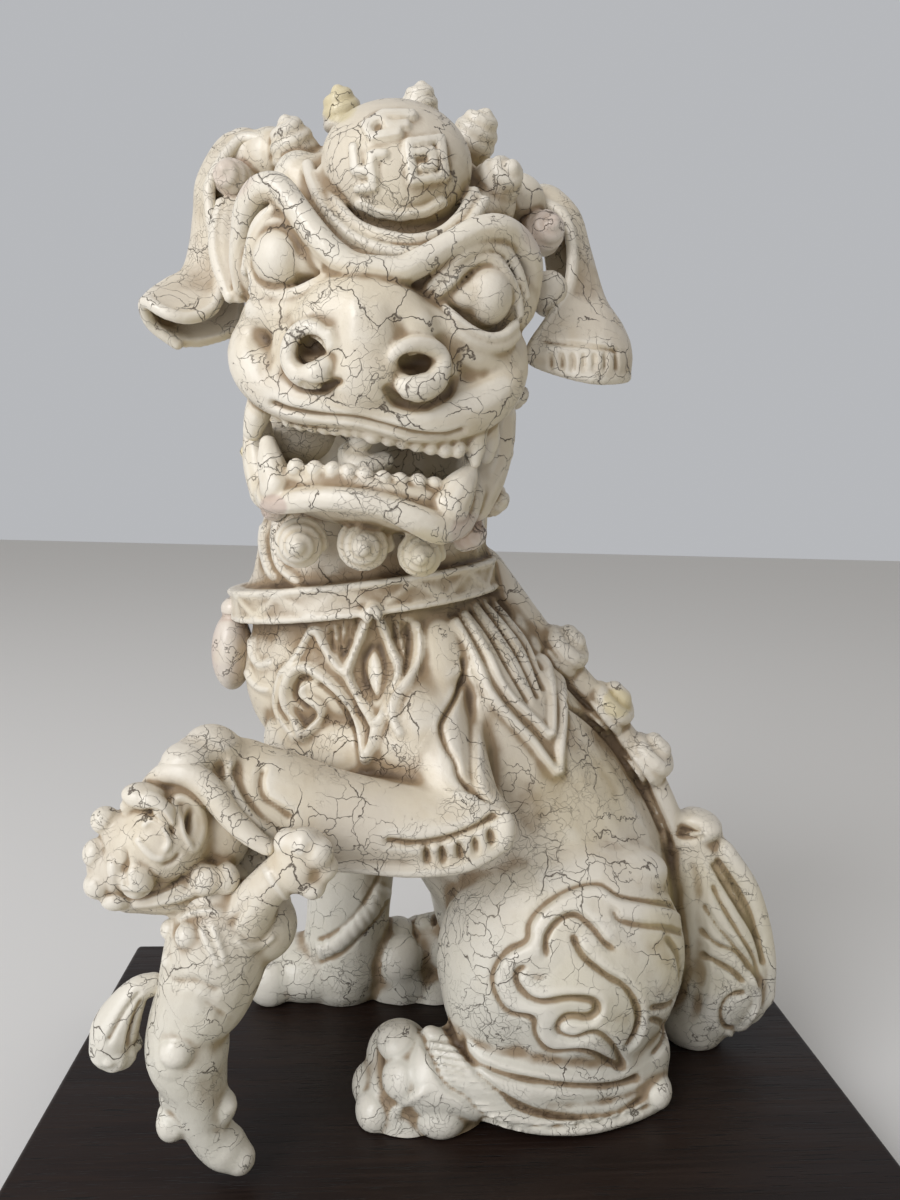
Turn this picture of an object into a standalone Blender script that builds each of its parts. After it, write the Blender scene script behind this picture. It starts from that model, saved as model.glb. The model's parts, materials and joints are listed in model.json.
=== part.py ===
"""Guardian lion figurine with its cub, cast in sections and screwed to a wooden plinth.

Metres, +Z up. The origin is the middle of the ground under the plinth. The lion sits facing -X and
turns its head to -Y. Sculpted sizes and places are in millimetres above the plinth's top face, the
head's are in its own frame (x across the face, y to the back, z up) and a row is x, y, z, radius.
"""

import math

import bmesh
import bpy
import numpy as np
from mathutils import Euler, Matrix, Vector

MM = 0.001

# The plinth and what is under it
PLINTH_WIDTH = 200.0
PLINTH_DEPTH = 135.0
PLINTH_HEIGHT = 20.0
PLINTH_EDGE = 1.5
PAD_RADIUS = 8.0
PAD_HEIGHT = 2.0
PAD_INSET = 16.0

# The screws that come up through the plinth into the castings
SCREW_SHANK = 1.9
SCREW_HEAD = 3.8
SCREW_HEAD_HEIGHT = 2.2
SCREW_GRIP = 9.0
SCREW_CLEARANCE = 0.4
RECESS_DEPTH = 5.0

# The gap between castings, under them, and between a pad and the plinth
JOINT_GAP = 0.5
SEAT_GAP = 0.3

# The lion's middle plane, and how far to each side of it the pieces stand
MIDDLE = 14.0
HAUNCH_SPREAD = 24.0
FORELEG_SPREAD = 26.0
CUB_SPREAD = 51.0
FACE_FORWARD = 16.0

# Where the chest and the rump are, and what is placed from them
CHEST = Vector((-25.0, MIDDLE, 104.0))
RUMP = Vector((33.0, MIDDLE, 28.0))
HAUNCH = Vector((RUMP.x - 8.5, MIDDLE - HAUNCH_SPREAD, 37.0))
HAUNCH_RADII = (31.0, 18.0, 30.0)
FORELEG = Vector((CHEST.x - 5.0, MIDDLE + FORELEG_SPREAD, 0.0))
FORELEG_RADIUS = 13.5
CUB = Vector((CHEST.x - 35.0, MIDDLE - CUB_SPREAD, 36.0))

# The collar, and the head with its roll
COLLAR = CHEST + Vector((-1.0, 0.0, 21.0))
COLLAR_LENGTH = 68.0
COLLAR_BREADTH = 62.0
COLLAR_HEIGHT = 8.0
COLLAR_PROUD = 2.0
COLLAR_TILT = -8.0
HEAD = COLLAR + Vector((4.0, -FACE_FORWARD, 66.0))
HEAD_TURN = 8.5
HEAD_WIDTH = 65.0
DRAWN_HEAD_WIDTH = 63.0

# The heights of the plinth's two faces and of the castings' soles
PLINTH_UNDERSIDE = PAD_HEIGHT + SEAT_GAP
PLINTH_TOP = PLINTH_UNDERSIDE + PLINTH_HEIGHT
GROUND = PLINTH_TOP + SEAT_GAP

# How finely a clearance is blended, how far a cutter runs past a face, and where an edge stays sharp
CUTTER_VOXEL = 0.8
OVERRUN = 1.0
SHARP_ANGLE = 50.0


def new_groups():
    """Remove whatever the file opened with, and make the two collections."""
    for old in list(bpy.data.objects):
        bpy.data.objects.remove(old, do_unlink=True)
    made = {}
    for name in ("guardian_lion", "cutters"):
        made[name] = bpy.data.collections.new(name)
        bpy.context.scene.collection.children.link(made[name])
    return made


GROUPS = new_groups()


def finish_of(name, colour, roughness, metallic=0.0):
    """One Principled material."""
    material = bpy.data.materials.new(name)
    material.use_nodes = True
    shader = material.node_tree.nodes["Principled BSDF"]
    shader.inputs["Base Color"].default_value = (*colour, 1.0)
    shader.inputs["Roughness"].default_value = roughness
    shader.inputs["Metallic"].default_value = metallic
    return material


IVORY = finish_of("ivory_crackle", (0.60, 0.51, 0.37), 0.4)
WOOD = finish_of("dark_wood", (0.030, 0.018, 0.015), 0.35)
FELT = finish_of("felt", (0.03, 0.035, 0.03), 0.95)
STEEL = finish_of("zinc_steel", (0.55, 0.53, 0.47), 0.35, 1.0)


def into_group(obj, name, material, group="guardian_lion"):
    """Name a finished piece, give it its material and file it."""
    for old in list(obj.users_collection):
        old.objects.unlink(obj)
    GROUPS[group].objects.link(obj)
    obj.name = name
    obj.data.name = name
    obj.data.materials.clear()
    obj.data.materials.append(material)
    return obj


def apply_modifiers(obj):
    """Replace the object's mesh with the one its modifiers make."""
    bpy.context.view_layer.update()
    mesh = bpy.data.meshes.new_from_object(obj.evaluated_get(bpy.context.evaluated_depsgraph_get()))
    obj.modifiers.clear()
    obj.data = mesh
    return obj


def join(objects):
    """One object with the meshes of all, each still a body of its own."""
    merged = bmesh.new()
    for obj in objects:
        merged.from_mesh(obj.data)
    mesh = bpy.data.meshes.new("lump")
    merged.to_mesh(mesh)
    merged.free()
    for obj in objects:
        bpy.data.objects.remove(obj)
    made = bpy.data.objects.new("lump", mesh)
    bpy.context.scene.collection.objects.link(made)
    return made


# Clay: the lumps that a casting is pressed together from


def ball(centre, radii, turn=(0, 0, 0), segments=24):
    """An ellipsoid, turned by three angles in degrees."""
    bpy.ops.mesh.primitive_uv_sphere_add(segments=segments, ring_count=segments * 2 // 3)
    obj = bpy.context.object
    radii = radii if hasattr(radii, "__len__") else (radii,) * 3
    angles = Euler([math.radians(a) for a in turn])
    obj.data.transform(Matrix.LocRotScale(Vector(centre) * MM, angles, Vector(radii) * MM))
    return obj


def smooth_path(rows, per_span):
    """Points on a smooth curve through the rows, whose every column is smoothed alike."""
    p = np.array(rows, float)
    p = np.vstack([2 * p[0] - p[1], p, 2 * p[-1] - p[-2]])
    path = []
    for a, b, c, d in zip(p, p[1:], p[2:], p[3:]):
        for t in np.arange(per_span) / per_span:
            bend = (2 * a - 5 * b + 4 * c - d) * t**2 + (3 * b - a - 3 * c + d) * t**3
            path.append(b + 0.5 * ((c - a) * t + bend))
    path.append(p[-2])
    return np.array(path)


def limb(rows, per_span=5, sides=3):
    """A round-ended tube along the rows."""
    path = smooth_path(rows, per_span)
    curve = bpy.data.curves.new("limb", "CURVE")
    curve.dimensions = "3D"
    curve.bevel_depth = MM
    curve.bevel_resolution = sides
    curve.use_fill_caps = True
    line = curve.splines.new("POLY")
    line.points.add(len(path) - 1)
    for point, (x, y, z, radius) in zip(line.points, path):
        point.co = (x * MM, y * MM, z * MM, 1.0)
        point.radius = max(radius, 0.1)
    guide = bpy.data.objects.new("limb", curve)
    bpy.context.scene.collection.objects.link(guide)
    bpy.context.view_layer.update()
    mesh = bpy.data.meshes.new_from_object(guide.evaluated_get(bpy.context.evaluated_depsgraph_get()))
    bpy.data.objects.remove(guide)
    tube = bpy.data.objects.new("limb", mesh)
    bpy.context.scene.collection.objects.link(tube)
    ends = [ball(path[k][:3], max(path[k][3], 0.1), segments=15) for k in (0, -1)]
    return join([tube, *ends])


def snail(centre, outward, radius, height):
    """A curl of hair: a tube wound twice up a dome."""
    turns = 2.0
    steps = 20
    coil = []
    for i in range(steps + 1):
        t = i / steps
        angle = t * turns * math.tau
        climb = math.radians(78) * t
        reach = radius * 0.8 * math.cos(climb)
        rise = height * 0.85 * math.sin(climb)
        coil.append((reach * math.cos(angle), reach * math.sin(angle), rise, radius * (0.3 - 0.1 * t)))
    core = [(0, 0, -radius * 0.4, radius * 0.8), (0, 0, height - radius * 0.85, radius * 0.75)]
    made = join([limb(core, 2), limb(coil, 1, 1)])
    tilt = Vector((0, 0, 1)).rotation_difference(Vector(outward).normalized())
    made.data.transform(Matrix.Translation(Vector(centre) * MM) @ tilt.to_matrix().to_4x4())
    return made


def sheet(rows, thickness):
    """A curved sheet through rows of points, from its top edge to its bottom edge."""
    across = [smooth_path(row, 4) for row in rows]
    grid = [smooth_path(column, 4) for column in np.swapaxes(np.array(across), 0, 1)]
    surface = bmesh.new()
    verts = [[surface.verts.new(Vector(p) * MM) for p in column] for column in grid]
    for left, right in zip(verts, verts[1:]):
        for k in range(len(left) - 1):
            surface.faces.new((left[k], left[k + 1], right[k + 1], right[k]))
    mesh = bpy.data.meshes.new("sheet")
    surface.to_mesh(mesh)
    surface.free()
    obj = bpy.data.objects.new("sheet", mesh)
    bpy.context.scene.collection.objects.link(obj)
    shell = obj.modifiers.new("shell", "SOLIDIFY")
    shell.thickness = thickness * MM
    shell.offset = 0.0
    return apply_modifiers(obj)


def moved(lumps, by):
    """The lumps, carried by that many millimetres."""
    for lump in lumps:
        lump.data.transform(Matrix.Translation(Vector(by) * MM))
    return lumps


def as_head(lumps):
    """From the head's own frame to the lion's."""
    scale = HEAD_WIDTH / DRAWN_HEAD_WIDTH
    angles = Euler((0, math.radians(HEAD_TURN), 0))
    frame = Matrix.LocRotScale(HEAD * MM, angles, Vector((scale,) * 3))
    for lump in lumps:
        lump.data.transform(frame)
    return lumps


# From lumps to castings


def keep_largest(obj):
    """Drop the crumbs that a cut or a blend leaves, and slivers shorter than a micrometre."""
    mesh = bmesh.new()
    mesh.from_mesh(obj.data)
    bmesh.ops.dissolve_degenerate(mesh, dist=1e-6, edges=mesh.edges)
    left = set(mesh.verts)
    best = []
    while left:
        island = [left.pop()]
        for vert in island:
            for edge in vert.link_edges:
                other = edge.other_vert(vert)
                if other in left:
                    left.discard(other)
                    island.append(other)
        best = max(best, island, key=len)
    kept = set(best)
    bmesh.ops.delete(mesh, geom=[v for v in mesh.verts if v not in kept], context="VERTS")
    mesh.to_mesh(obj.data)
    mesh.free()
    return obj


def blend(lumps, voxel, faces, soften=3):
    """Press lumps into one skin, stand it on the plinth, and thin its faces to about that many."""
    obj = join(lumps)
    skin = obj.modifiers.new("skin", "REMESH")
    skin.mode = "VOXEL"
    skin.voxel_size = voxel * MM
    soft = obj.modifiers.new("soften", "SMOOTH")
    soft.factor = 0.5
    soft.iterations = soften
    thinned(keep_largest(apply_modifiers(obj)), faces)
    obj.data.transform(Matrix.Translation((0, 0, GROUND * MM)))
    return obj


def thinned(obj, faces):
    """Thin an object's skin to about that many triangles."""
    thin = obj.modifiers.new("thin", "DECIMATE")
    thin.ratio = min(1.0, faces / (2 * len(obj.data.polygons)))
    return apply_modifiers(obj)


def cutter_of(obj, swell):
    """A copy whose skin stands off by that many millimetres, with its folds blended again."""
    cutter = bpy.data.objects.new("clearance", obj.data.copy())
    bpy.context.scene.collection.objects.link(cutter)
    stand_off = cutter.modifiers.new("swell", "DISPLACE")
    stand_off.strength = swell * MM
    stand_off.mid_level = 0.0
    skin = cutter.modifiers.new("skin", "REMESH")
    skin.mode = "VOXEL"
    skin.voxel_size = CUTTER_VOXEL * MM
    faces = 1.4 * len(obj.data.polygons)
    return thinned(keep_largest(apply_modifiers(cutter)), faces)


def cut(obj, cutter, name):
    """Take one solid out of another and file the cutter with its piece's name."""
    into_group(cutter, name, IVORY, "cutters")
    cutter.hide_render = True
    cutter.display_type = "WIRE"
    tool = obj.modifiers.new("cut", "BOOLEAN")
    tool.operation = "DIFFERENCE"
    tool.solver = "EXACT"
    tool.object = cutter
    return keep_largest(apply_modifiers(obj))


def clear_of(obj, *neighbours):
    """Leave the joint's gap to each neighbour."""
    for other in neighbours:
        cut(obj, cutter_of(other, JOINT_GAP), "clearance_" + other.name)
    return obj


def stand_flat(obj):
    """Cut the casting's sole flat, the seat's gap above the plinth."""
    depth = 40.0
    bpy.ops.mesh.primitive_cube_add(size=1.0)
    below = bpy.context.object
    span = Matrix.Diagonal((2 * PLINTH_WIDTH * MM, 2 * PLINTH_DEPTH * MM, depth * MM, 1.0))
    below.data.transform(Matrix.Translation((0, 0, (GROUND - depth / 2) * MM)) @ span)
    return cut(obj, below, "below_the_sole")


# The lion


def torso():
    """Rump, trunk, chest and neck, with the comb of curls along the spine."""
    neck = COLLAR_BREADTH / 2 - COLLAR_PROUD
    nape = HEAD + Vector((-1, 13, -36))
    x, y, z = CHEST
    trunk = [(x + 19, y, z - 8, 31), (x + 33, y, z - 28, 30.5)]
    trunk += [(RUMP.x - 8, y, RUMP.z + 22, 31), (RUMP.x, y, RUMP.z + 2, 28)]
    throat = [(COLLAR.x, y, COLLAR.z - 2, neck), (x + 2, y, COLLAR.z + 18, neck - 0.5), (*nape, neck - 2.5)]
    spine = [(x + 30, z + 27), (x + 46, z + 6.5), (x + 61, z - 10), (x + 75, z - 28), (RUMP.x + 26, RUMP.z + 30)]
    lumps = [
        limb(trunk),
        limb(throat),
        ball(CHEST, (31.5, 28, 29)),
        ball((x - 1, y, z + 18), (30.5, 27, 18)),
        ball((RUMP.x, y, RUMP.z - 2), (29, 32, 29)),
        limb([(u, y, v, 5) for u, v in spine]),
        collar(),
    ]
    for u, v in ((50, 4), (63, -11), (74.5, -25)):
        lumps.append(snail((x + u, y, z + v), (0.77, 0, 0.64), 6.2, 8.5))
    return lumps


def collar():
    """The band round the neck, level with the line of the shoulders."""
    bpy.ops.mesh.primitive_cylinder_add(vertices=48, radius=0.5, depth=1.0)
    band = bpy.context.object
    size = Vector((COLLAR_LENGTH, COLLAR_BREADTH, COLLAR_HEIGHT))
    angles = Euler((0, math.radians(COLLAR_TILT), 0))
    band.data.transform(Matrix.LocRotScale(COLLAR * MM, angles, size * MM))
    return band


def bell():
    """The drop that hangs from the collar's front."""
    front = COLLAR.x - COLLAR_LENGTH / 2
    return [ball((front + 0.5, MIDDLE - 2, COLLAR.z - 17), (5.2, 7, 10.5))]


def skull():
    """The upper head: brow, eyes, snout, upper lip and teeth, boss, and the curls that ring it."""
    brow = [(0, -33, 0.9, 3), (6.5, -34, 1, 3.2), (12.4, -34, 5.3, 3.2), (16.8, -33, 10.4, 3.2)]
    brow += [(21.2, -30, 13.2, 3.3), (25, -26, 12, 3.3), (27.6, -22, 7.3, 3.2), (28.6, -19, 0, 3)]
    upper_lid = [(24.3, -26, -4.1, 1.4), (23.8, -29, 3, 1.6), (21, -31, 6, 1.6), (17, -32.5, 4.6, 1.6)]
    upper_lid += [(12.5, -32.5, 0.8, 1.6), (8.4, -31, -2, 1.4)]
    lower_lid = [(24.3, -26, -4.1, 1.4), (21.7, -28, -8, 1.6), (17.7, -29.5, -8.5, 1.6), (10, -31, -4.5, 1.5)]
    cheek = [(21, -26, -12.9, 3.2), (25.5, -22, -16, 3.6), (25.5, -22, -22, 3.6), (17, -27, -26, 3.4)]

    def side(sign):
        def flip(rows):
            return [(sign * x, *rest) for x, *rest in rows]

        ring = []
        for i in range(9):
            angle = i / 8 * math.tau
            ring.append((8.5 + 5.2 * math.cos(angle), -41, -18.5 + 4.6 * math.sin(angle), 2.5))
        return [
            ball((sign * 19.5, -27.5, -0.5), (6.6, 5.5, 6)),
            ball((sign * 9, -36, -17.5), (9.5, 7, 8.5)),
            ball((sign * 16, -12, -15), (14.5, 18, 13)),
            limb(flip(brow), 3),
            limb(flip(upper_lid), 3, 2),
            limb(flip(lower_lid), 3, 2),
            limb(flip(cheek), 3),
            limb(flip(ring), 2, 2),
            snail((sign * 33, -9, 20.5), (sign * 0.5, -1, 0.2), 5, 5.5),
        ]

    lumps = [
        ball((0, 3, 12), (30, 29, 27)),
        ball((0, 2, -9), (30.5, 27, 20)),
        ball((1, -17, -18), (23, 20, 12.5)),
        ball((3, -8, -22), (26, 21, 8)),
        ball((0, 13, -12), (27, 22, 24)),
        limb([(0, -24, 4, 7.5), (0, -30, -5, 9.5), (0, -34, -14, 10)]),
        ball((-1.5, -19, 25.5), (15, 7, 13), (-30, 0, 0)),
        limb([(-14.5, -24, 17, 2), (-8, -29, 10.5, 2.2), (1, -31, 8.5, 2.3), (9, -29, 11, 2.2), (14.5, -25, 19, 2)]),
        ball((35, -7, 8.3), 3.9),
        limb([(-18, -24, -27, 3.4), (0, -33, -26, 3.4), (14, -31, -25.5, 3.6), (25, -23, -22.5, 3.6)]),
        limb([(-11, -28, -28.5, 1.7), (4, -32, -29, 1.9), (18, -28, -28, 1.7)], 3, 2),
        limb([(22, -25, -26, 2.6), (23.5, -26, -33, 0.8)], 3, 2),
    ]
    crown = ((-25.3, 31.6, 6.4), (-15.5, 40.4, 5.8), (0.8, 43, 5.6), (13.7, 40.3, 5.8), (21.5, 31.3, 5.8))
    for x, z, radius in crown:
        lumps.append(snail((x * 0.9, -7, z * 0.93), (x, -6, z), radius, 7))
    for x, y, z in ((31, -6, -14.7), (31, -6, -26)):
        lumps.append(snail((x - 2, y, z), (1, -0.9, 0), 5, 5))
    lumps.append(snail((-25, -12, -31), (-1, -0.9, 0), 4.6, 4.6))
    return as_head(lumps + side(-1) + side(1) + mane())


def mane():
    """Two rows of curls round the back of the head."""
    curls = []
    for height, reach, angles in ((-25, 24, (-66, -33, 0, 33, 66)), (-8, 27, (-50, -17, 17, 50))):
        for angle in angles:
            side = math.sin(math.radians(angle))
            back = math.cos(math.radians(angle))
            place = (reach * side, 8 + 0.88 * reach * back, height)
            curls.append(snail(place, (side, back, -0.2), 7, 6.5))
    return curls


def jaw():
    """The lower jaw: lip, floor, teeth and tusks, and the curls that hang from it."""
    lip = [(-18, -3, -38, 4), (-16, -19, -43, 4.6), (-9, -28, -44.5, 4.7), (4, -31, -43, 4.7)]
    lip += [(14.3, -30, -44, 4.8), (21, -25, -43.5, 5), (25, -6, -36, 4)]
    lumps = [
        limb(lip),
        ball((4, -10, -43.5), (21, 19, 5.5)),
        ball((3, 2, -40), (25, 18, 11)),
        limb([(-13.5, -24, -42, 3), (-15.5, -24, -37, 2.5), (-17, -24, -32.5, 1.3)], 3, 2),
        limb([(20.8, -24, -41, 4), (21.3, -24, -37, 3), (21.8, -25, -32.4, 1)], 3, 2),
        limb([(-11, -25.5, -39, 1.6), (4, -29, -38.2, 1.7), (17, -26, -38.5, 1.6)], 3, 2),
    ]
    for x, y, z in ((-8.7, -24, -52.5), (4.6, -25, -51), (16.5, -24, -51)):
        lumps.append(snail((x, y, z), (0, -1, -0.25), 7, 7))
    for x, y, z in ((30, -5, -36), (26, -8, -44.5)):
        lumps.append(snail((x, y, z), (1, -1, 0), 5, 5))
    lumps.append(snail((-20, -14, -45), (-1, -1, 0), 4.6, 4.6))
    return as_head(lumps)


def tongue():
    """The tongue, with the pearl that lies on it."""
    rows = [(1, -12, -38, 4.5), (1, -20, -35.6, 4.2), (5, -24, -35.8, 3)]
    return as_head([limb(rows), ball((1, -20.5, -32), 2.6)])


def ear(sign):
    """A leaf-like ear, hollow to the front and flared at its tip, hung a little unevenly."""
    rows = [
        [(29, 6, 31), (32, 5, 34.5), (36, 3, 35.5), (40, 0, 33)],
        [(30, 9, 24), (36, 9, 24), (41, 6, 24), (44, -3, 24)],
        [(30, 9, 12), (37, 9, 12), (43, 6, 12), (47, -3, 12)],
        [(31, 8, 3), (39, 8, 2), (46, 5, 2), (51.5, -3, 3)],
        [(33, 2, -5), (41, -1, -8), (49, -4, -9), (57, -7, -3)],
    ]
    shift_x, shift_z = (-2, 2) if sign > 0 else (5.5, -5)
    rows = [[(sign * x + shift_x, y, z + shift_z) for x, y, z in row] for row in rows]
    rim = [(*row[-1], 1.7) for row in rows] + [(*p, 1.7) for p in rows[-1][-2::-1]]
    return as_head([sheet(rows, 2.6), limb(rim, 3, 2)])


def raised_foreleg():
    """Upper arm, forearm with its fringe and knob, and the paw with one toe over the cub's head."""
    digit = [(-39, -49, -15, 3), (-34, -51, -13.5, 3.3), (-29, -52, -17.5, 3.2)]
    digit += [(-24, -52, -23.5, 2.9), (-20, -51, -27.5, 2.2)]
    forearm = [(25, -41, -27, 8.8), (10, -42, -27, 9), (-6, -42, -25, 10), (-20, -42, -20.5, 10.5)]
    lumps = [
        limb([(16, -18, 8, 9), (17, -24, -5, 10), (19, -32, -16, 10), (22, -39.5, -25, 9.5)]),
        limb([*forearm, (-26, -41.5, -17.5, 9.3)]),
        limb([(-8, -47, -33.8, 1.9), (10, -47.5, -35.2, 1.9), (22, -47, -34.5, 2), (29, -46.5, -31, 2.2)], 3, 2),
        ball((31, -46, -27), (2.8, 3.2, 4.8)),
        ball((-33, -41, -15), (9, 9, 8)),
        limb(digit, 3),
    ]
    toes = ((-41, -44, -17, 4.4), (-37, -47, -12.5, 4.8), (-31, -45, -8.5, 4.6), (-40, -36, -14, 4.4))
    for x, y, z, radius in toes:
        lumps.append(ball((x, y, z), (radius, radius * 1.2, radius)))
    return moved(lumps, CHEST)


def standing_foreleg():
    """A straight leg with a strap round it, on a paw with three toes in front."""
    r = FORELEG_RADIUS
    top = CHEST.z - 16
    column = [(8, -14, top, r), (4, -6, top - 22, r + 0.5), (1, 0, top / 2, r), (0, 0, 24, r - 1), (-1, 0, 8, r)]
    strap = [(-11.5, -7, 13, 1.7), (-5, -12, 12.6, 1.8), (3, -12, 17, 1.8), (9, -10, 23, 1.8), (13, -5, 31, 1.8)]
    lumps = [limb(column), limb(strap, 3, 2), ball((-11, 0, 7), (17, 12.5, 9.5))]
    for y in (-8, 0, 8):
        lumps.append(ball((-22, y, 6), (7, 4.6, 7)))
    return moved(lumps, FORELEG)


def hind_leg(ruff_side):
    """A folded hind leg, from the middle of its haunch. The ruff is on the side that is seen."""
    lumps = [
        ball((0, 0, 0), HAUNCH_RADII),
        ball((-14, -1, -4), (16, 15, 22)),
        limb([(10, 0, -18, 12), (19, 1, -25, 10), (21, 1, -30, 8)]),
        limb([(20, 1, -28, 9), (2, -4, -26, 11), (-16, -6, -25.5, 11.5), (-31, -7, -26.5, 9.8)]),
    ]
    toes = ((-38.5, -9, -17), (-37, -12, -24), (-44.5, -5, -29), (-30, -12, -31.5))
    toes += ((-38, -12, -32), (-40, 1, -28), (-39, -1, -18))
    for x, y, z in toes:
        lumps.append(ball((x, y, z), (6, 5.6, 5.6)))
    if ruff_side:
        ruff = [(-34, -9, -10.5, 2), (-31, -14, -17.5, 2), (-24, -15.5, -25, 2), (-9, -14.5, -32.3, 2)]
        ruff += [(8, -11.5, -31, 2), (19, -9, -26, 2)]
        lumps += [limb(ruff, 3, 2), ball((20.5, -7.5, -23), 3.2)]
    return moved(lumps, HAUNCH)


def tail():
    """A plume that stands against the rump, with a scroll at its foot."""
    lumps = [
        limb([(31, 0, 30, 7), (34, 0, 18, 10), (38, 0, 5, 13), (40, 0, -10, 14), (35, 0, -22, 10)]),
        ball((33, 0, 33.5), (6.5, 9, 4)),
        limb([(39, -5, 28, 3), (46, -5, 16, 4), (51, -5, 0, 4), (52, -5, -13, 4)]),
        snail((47, -6, -15), (0.2, -1, 0), 9, 6),
    ]
    return moved(lumps, RUMP)


def cub():
    """The cub's trunk, hind foot and the arm that holds the lion's forearm."""
    lumps = [
        limb([(9, 0, 29, 8), (8, 0, 20, 9.3), (3.5, 0, 9, 9.6), (0, 0, 0, 9)]),
        limb([(0, 0, -2, 8.6), (1.5, 0, -12, 7), (5, 1, -22, 4.6), (8, 2, -29, 4)]),
        limb([(8, 3, -31, 4.4), (13, 1, -33, 3.6)]),
        limb([(13, -2, 25, 5), (16, -4, 33, 4.6), (20, -5, 38, 4.4)]),
        ball((24.5, -6, 41.5), (5.2, 4.4, 6.2)),
        ball((-2, -5, -3.5), 3.8),
    ]
    knobs = ((0.3, -4, 21, 2.6), (-4, -1, 16.5, 2.2), (-4.5, 0, 23, 2.1), (9, -3, -16.5, 2.4), (-4.5, 0, -19, 2.4))
    for x, y, z, radius in knobs:
        lumps.append(ball((x, y, z), radius))
    return moved(lumps, CUB)


def cub_head():
    """The cub's head, thrown back: snout, brows, eye, ear and jaw."""
    lumps = [
        ball((-3, 0, 42), (11, 10, 11.5)),
        ball((-10.5, -3, 37), (9, 8.5, 8)),
        limb([(1, 0, 34, 8), (7, 1, 29, 6.5)]),
        ball((-13.5, -9.5, 35), (2.6, 3, 3.4)),
        ball((-18.5, -6.5, 38), 2.8),
        ball((-9, -9.5, 33.5), 2.8),
        ball((-7, -8, 52), (3.8, 2.8, 2.6)),
        ball((-14, -5, 46.5), (3.4, 3, 3)),
        ball((-4, -9.5, 43), (2.6, 2, 3.4)),
        limb([(-1, -8, 50, 1.8), (2.5, -9, 45, 2.2), (4, -8, 39, 1.4)], 3, 2),
        ball((4, -7, 33.5), (5, 3.4, 3.2)),
        ball((8.6, -6.5, 33.5), 2.6),
    ]
    return moved(lumps, CUB)


def cub_tail():
    """The cub's tail, which ends in a curl."""
    rows = [(-7, 2, 8, 2.8), (-11, 1, 7, 2.8), (-15, 0, 2, 3.2), (-17, 0, -4, 3.8)]
    return moved([limb(rows, 3), snail((-14.5, 0, -7), (-0.2, -1, 0), 6.3, 4)], CUB)


# The plinth


def screw_places():
    """Under the near hind foot, the standing foreleg and the rump."""
    foot = (HAUNCH.x - 14, HAUNCH.y - 5)
    paw = (FORELEG.x, FORELEG.y)
    rump = (HAUNCH.x + 10, MIDDLE)
    return (foot, paw, rump)


def rod(radius, bottom, top, place, sides=14):
    """An upright cylinder between two heights."""
    bpy.ops.mesh.primitive_cylinder_add(vertices=sides, radius=radius * MM, depth=(top - bottom) * MM)
    obj = bpy.context.object
    obj.data.transform(Matrix.Translation(Vector((*place, (top + bottom) / 2)) * MM))
    return obj


def plinth():
    """A block with eased edges, and the stepped ways of the screws."""
    bpy.ops.mesh.primitive_cube_add(size=1.0)
    obj = bpy.context.object
    size = Vector((PLINTH_WIDTH, PLINTH_DEPTH, PLINTH_HEIGHT))
    middle = Vector((0, 0, (PLINTH_UNDERSIDE + PLINTH_TOP) / 2))
    obj.data.transform(Matrix.LocRotScale(middle * MM, None, size * MM))
    edge = obj.modifiers.new("edge", "BEVEL")
    edge.width = PLINTH_EDGE * MM
    edge.segments = 1
    apply_modifiers(obj)
    seat = PLINTH_UNDERSIDE + RECESS_DEPTH
    for place in screw_places():
        cut(obj, rod(SCREW_HEAD + SCREW_CLEARANCE, PLINTH_UNDERSIDE - OVERRUN, seat, place), "recess")
        way = rod(SCREW_SHANK + SCREW_CLEARANCE, seat - OVERRUN, PLINTH_TOP + OVERRUN, place)
        cut(obj, way, "screw_way")
    return into_group(obj, "plinth", WOOD)


def screw(index, place):
    """A pan-headed screw whose head seats in the plinth's recess."""
    seat = PLINTH_UNDERSIDE + RECESS_DEPTH - SEAT_GAP
    head = rod(SCREW_HEAD, seat - SCREW_HEAD_HEIGHT, seat, place)
    shank = rod(SCREW_SHANK, seat - OVERRUN, GROUND + SCREW_GRIP, place)
    union = head.modifiers.new("shank", "BOOLEAN")
    union.operation = "UNION"
    union.solver = "EXACT"
    union.object = shank
    apply_modifiers(head)
    bpy.data.objects.remove(shank)
    return into_group(head, f"screw_{index}", STEEL)


def tapped(obj):
    """The blind holes in a casting that the screws go into."""
    for place in screw_places():
        tip = GROUND + SCREW_GRIP + SCREW_CLEARANCE
        hole = rod(SCREW_SHANK + SCREW_CLEARANCE, GROUND - OVERRUN, tip, place)
        cut(obj, hole, "screw_hole")
    return obj


def foot_pads():
    """Four round pads near the plinth's corners."""
    count = 0
    for across in (-1, 1):
        for back in (-1, 1):
            count += 1
            place = (across * (PLINTH_WIDTH / 2 - PAD_INSET), back * (PLINTH_DEPTH / 2 - PAD_INSET))
            into_group(rod(PAD_RADIUS, 0, PAD_HEIGHT, place, 18), f"foot_pad_{count}", FELT)


def far_side(obj):
    """Carry a near leg over to the far side, turned over like a hand."""
    over = Matrix.Translation((0, 2 * MIDDLE * MM, 0)) @ Matrix.Diagonal((1, -1, 1, 1))
    obj.data.transform(over)
    obj.data.flip_normals()
    return obj


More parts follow.
